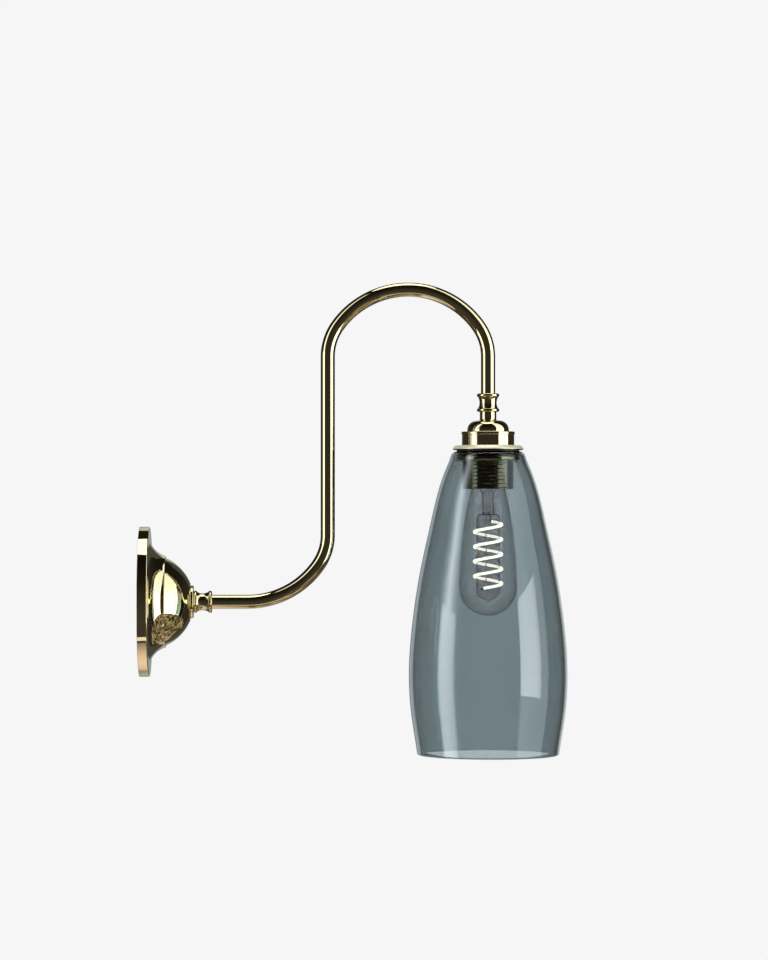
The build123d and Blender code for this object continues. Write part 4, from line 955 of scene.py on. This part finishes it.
def studio_patch(name, finish, azimuths, lows, highs, set_in, in_metal, in_glass, across=(1.0,)):
    """A curved panel round the object, with levels from foot to top and shares of them from side to side.

    Azimuth 0 is towards the camera and 90 to its right, and lows and highs are elevations, all in degrees.
    """
    built = bmesh.new()
    metal_layer, glass_layer = level_layers(built)
    grid = []
    for column in range(PATCH_STEPS + 1):
        share = column / PATCH_STEPS
        azimuth = math.radians(profile(azimuths, share))
        verts = []
        for row in range(PATCH_STEPS + 1):
            rise = row / PATCH_STEPS
            height = math.radians(profile((profile(lows, share), profile(highs, share)), rise))
            level = math.cos(height)
            facing = Vector((level * math.sin(azimuth), -level * math.cos(azimuth), math.sin(height)))
            vert = built.verts.new(STUDIO_CENTRE + (STUDIO_R - set_in) * facing)
            vert[metal_layer] = profile(across, share) * profile(in_metal, rise)
            vert[glass_layer] = profile(across, share) * profile(in_glass, rise)
            verts.append(vert)
        grid.append(verts)
    for first, second in zip(grid, grid[1:]):
        for row in range(PATCH_STEPS):
            built.faces.new((first[row], second[row], second[row + 1], first[row + 1]))
    finish_panel(name, built, finish)


def studio_disc(name, finish, centre, radius, in_metal, in_glass):
    """A level round panel, its levels from its middle to its edge."""
    built = bmesh.new()
    metal_layer, glass_layer = level_layers(built)
    rings = []
    for step in range(ROUND_STEPS + 1):
        share = step / ROUND_STEPS
        ring = []
        for angle in angles_round(ROUND_SEGMENTS if step else 1):
            vert = built.verts.new(share * radius * Vector((math.cos(angle), math.sin(angle), 0.0)))
            vert[metal_layer] = profile(in_metal, share)
            vert[glass_layer] = profile(in_glass, share)
            ring.append(vert)
        rings.append(ring)
    for inner, outer in zip(rings, rings[1:]):
        for segment in range(ROUND_SEGMENTS):
            following = (segment + 1) % ROUND_SEGMENTS
            corners = [outer[segment], outer[following]]
            corners += [inner[following % len(inner)], inner[segment % len(inner)]]
            built.faces.new(list(dict.fromkeys(corners)))
    finish_panel(name, built, finish, centre)


CLEAR = "ShaderNodeBsdfTransparent"
MATT = "ShaderNodeBsdfDiffuse"
dark_cloth = mirrored_only("dark_cloth", (1.0, 0.92, 0.82), CLEAR)
seen_through = mirrored_only("seen_through", (0.93, 1.0, 1.03), CLEAR, outer_face=False)
cool_light = mirrored_only("cool_light", (0.93, 1.0, 1.03), CLEAR)
white_light = mirrored_only("white_light", (1.0, 1.0, 1.0), CLEAR)

# Dark cloths all round
CLOTH_LOW = (-80.0,)
CLOTH_HIGH = (89.9,)
studio_patch(
    "front_cloth",
    dark_cloth,
    azimuths=(-100.0, 100.0),
    lows=CLOTH_LOW,
    highs=CLOTH_HIGH,
    set_in=0.0,
    in_metal=(0.05, 0.05, 0.048, 0.03, 0.012, 0.006, 0.006),
    in_glass=(0.02,),
)
studio_patch(
    "back_cloth",
    dark_cloth,
    azimuths=(100.0, 260.0),
    lows=CLOTH_LOW,
    highs=CLOTH_HIGH,
    set_in=0.0,
    in_metal=(0.03, 0.03, 0.03, 0.03, 0.012, 0.010, 0.010),
    in_glass=(0.27,),
)

# Pale wall far behind, brighter straight behind the light
BEHIND_LOW = (-45.0,)
BEHIND_HIGH = (37.0,)
studio_patch(
    "far_wall",
    seen_through,
    azimuths=(146.0, 214.0),
    lows=BEHIND_LOW,
    highs=BEHIND_HIGH,
    set_in=0.05,
    in_metal=(0.07,),
    in_glass=(0.90,),
)
studio_patch(
    "wall_behind",
    seen_through,
    azimuths=(166.0, 194.0),
    lows=BEHIND_LOW,
    highs=BEHIND_HIGH,
    set_in=0.1,
    in_metal=(0.60, 0.60, 0.40, 0.33, 0.44, 0.75, 0.85),
    in_glass=(0.81, 0.90, 0.54, 0.54, 0.72, 0.90, 0.81),
    across=(0.1, 0.6, 1.0, 1.0, 0.6, 0.1),
)

# Soft lights on the left: a low one with a dim edge, and a high one that fades upwards
LEFT_LOW = (-26.0,)
LEFT_MIDDLE = (10.0,)
LEFT_HIGH = (66.0,)
studio_patch(
    "left_low",
    cool_light,
    azimuths=(-81.0, -51.0),
    lows=LEFT_LOW,
    highs=LEFT_MIDDLE,
    set_in=0.2,
    in_metal=(2.2,),
    in_glass=(6.6, 7.4, 8.2, 8.8),
    across=(0.3, 0.9, 1.0, 1.0, 0.9, 0.8, 0.65, 0.2),
)
studio_patch(
    "left_edge",
    cool_light,
    azimuths=(-90.0, -81.0),
    lows=LEFT_LOW,
    highs=LEFT_MIDDLE,
    set_in=0.2,
    in_metal=(0.6,),
    in_glass=(0.02,),
)
studio_patch(
    "left_high",
    cool_light,
    azimuths=(-84.0, -49.0),
    lows=LEFT_MIDDLE,
    highs=LEFT_HIGH,
    set_in=0.2,
    in_metal=(2.2, 1.6),
    in_glass=(8.5, 8.1, 6.4, 4.7, 3.8, 3.4),
    across=(0.05, 0.25, 0.65, 1.0, 0.85, 0.4, 0.15, 0.05),
)

# Soft lights on the right: a tall panel, and a bright field in it
studio_patch(
    "right_panel",
    cool_light,
    azimuths=(47.0, 94.0),
    lows=(-26.0,),
    highs=(72.0,),
    set_in=0.1,
    in_metal=(2.6, 2.5, 2.3, 1.9, 1.4, 1.25, 1.2, 1.1),
    in_glass=(1.4, 1.4, 1.3, 1.2),
)
studio_patch(
    "bright_right",
    cool_light,
    azimuths=(46.0, 80.0),
    lows=(-10.8,),
    highs=(12.0, 13.6),
    set_in=0.2,
    in_metal=(2.8,),
    in_glass=(10.0, 9.6, 8.5),
    across=(0.7, 0.8, 0.82, 0.8, 0.8, 0.7, 0.4),
)

# Round light overhead, a little behind the lamp
TOP_LIGHT_Y = 0.29
TOP_LIGHT_Z = 2.7
TOP_LIGHT_R = 0.91
studio_disc(
    "overhead",
    white_light,
    centre=(STUDIO_CENTRE.x, TOP_LIGHT_Y, TOP_LIGHT_Z),
    radius=TOP_LIGHT_R,
    in_metal=(1.9,),
    in_glass=(4.0,),
)

# Ground: dark with bright specks on the lamp's side, and a pale edge below it
GROUND_LOW = (-54.0,)
GROUND_HIGH = (-26.0,)
brown_ground = mirrored_only("brown_ground", (0.045, 0.038, 0.030), CLEAR)
add_mottle(
    brown_ground,
    first=(0.012, 0.008, 0.004),
    second=(0.44, 0.37, 0.26),
    scale=3.6,
    sideways=(0.45, 0.9),
    forward=(2.6, 2.5),
)
studio_patch(
    "brown_ground",
    brown_ground,
    azimuths=(5.0, 140.0),
    lows=GROUND_LOW,
    highs=GROUND_HIGH,
    set_in=0.3,
    in_metal=(1.0,),
    in_glass=(0.2,),
)
pale_edge = mirrored_only("pale_edge", (1.0, 0.97, 0.88), CLEAR)
studio_patch(
    "pale_edge",
    pale_edge,
    azimuths=(-100.0, 100.0),
    lows=(-60.0,),
    highs=GROUND_LOW,
    set_in=0.3,
    in_metal=(0.95,),
    in_glass=(0.4,),
)

# Floor: a pale round one, far below the lamp, which also takes the shadow
FLOOR_Y = 0.2
FLOOR_Z = -0.9
FLOOR_R = 0.7
floor_finish = mirrored_only("pale_floor", (0.92, 0.76, 0.74), MATT)
add_mottle(
    floor_finish,
    first=(0.04, 0.03, 0.02),
    second=(0.66, 0.57, 0.43),
    scale=6.5,
    sideways=(0.02, 0.10),
    forward=(0.60, 0.50),
)
studio_disc(
    "floor",
    floor_finish,
    centre=(STUDIO_CENTRE.x, FLOOR_Y, FLOOR_Z),
    radius=FLOOR_R,
    in_metal=(1.0, 1.0, 0.85, 0.55, 0.3),
    in_glass=(0.5,),
)

# World: the pale backdrop for what the camera, glass and metal see, and an even light for the rest
world = bpy.data.worlds.new("studio")
scene.world = world
world.use_nodes = True
world_tree = world.node_tree
backdrop = world_tree.nodes["Background"]
backdrop.inputs["Color"].default_value = (1.0, 1.0, 1.0, 1.0)
ray = world_tree.nodes.new("ShaderNodeLightPath")
camera_or_glossy = world_tree.nodes.new("ShaderNodeMath")
seen = world_tree.nodes.new("ShaderNodeMath")
seen.use_clamp = True
world_level = world_tree.nodes.new("ShaderNodeMapRange")
world_level.inputs["To Min"].default_value = AMBIENT
world_level.inputs["To Max"].default_value = BACKDROP
world_tree.links.new(ray.outputs["Is Camera Ray"], camera_or_glossy.inputs[0])
world_tree.links.new(ray.outputs["Is Glossy Ray"], camera_or_glossy.inputs[1])
world_tree.links.new(camera_or_glossy.outputs["Value"], seen.inputs[0])
world_tree.links.new(ray.outputs["Is Transmission Ray"], seen.inputs[1])
world_tree.links.new(seen.outputs["Value"], world_level.inputs["Value"])
world_tree.links.new(world_level.outputs["Result"], backdrop.inputs["Strength"])

# Lamp overhead, for the shadows
LAMP_POWER = 12.0
LAMP_SIZE = 1.5
LAMP_Y = -0.3
LAMP_Z = 2.2
lamp_data = bpy.data.lights.new("overhead_lamp", "AREA")
lamp_data.energy = LAMP_POWER
lamp_data.size = LAMP_SIZE
lamp = bpy.data.objects.new("overhead_lamp", lamp_data)
lamp.location = (STUDIO_CENTRE.x, LAMP_Y, LAMP_Z)
lamp.visible_glossy = False
lamp.visible_transmission = False
scene.collection.objects.link(lamp)

# Camera, in millimetres: level with the middle of the light, in front of the arm
CAMERA_X = 123.0
CAMERA_Z = 73.0
CAMERA_AWAY = 2760.0
VIEW_X = 195.45
VIEW_Z = 97.4
VIEW_HEIGHT = 768.0
camera_data = bpy.data.cameras.new("camera")
camera_data.lens = camera_data.sensor_width * CAMERA_AWAY / VIEW_HEIGHT
camera_data.shift_x = (VIEW_X - CAMERA_X) / VIEW_HEIGHT
camera_data.shift_y = (VIEW_Z - CAMERA_Z) / VIEW_HEIGHT
camera = bpy.data.objects.new("camera", camera_data)
camera.location = Vector((CAMERA_X, -CAMERA_AWAY, CAMERA_Z)) * MM
camera.rotation_euler = (math.pi / 2, 0.0, 0.0)
scene.collection.objects.link(camera)
scene.camera = camera
scene.view_settings.view_transform = "Standard"
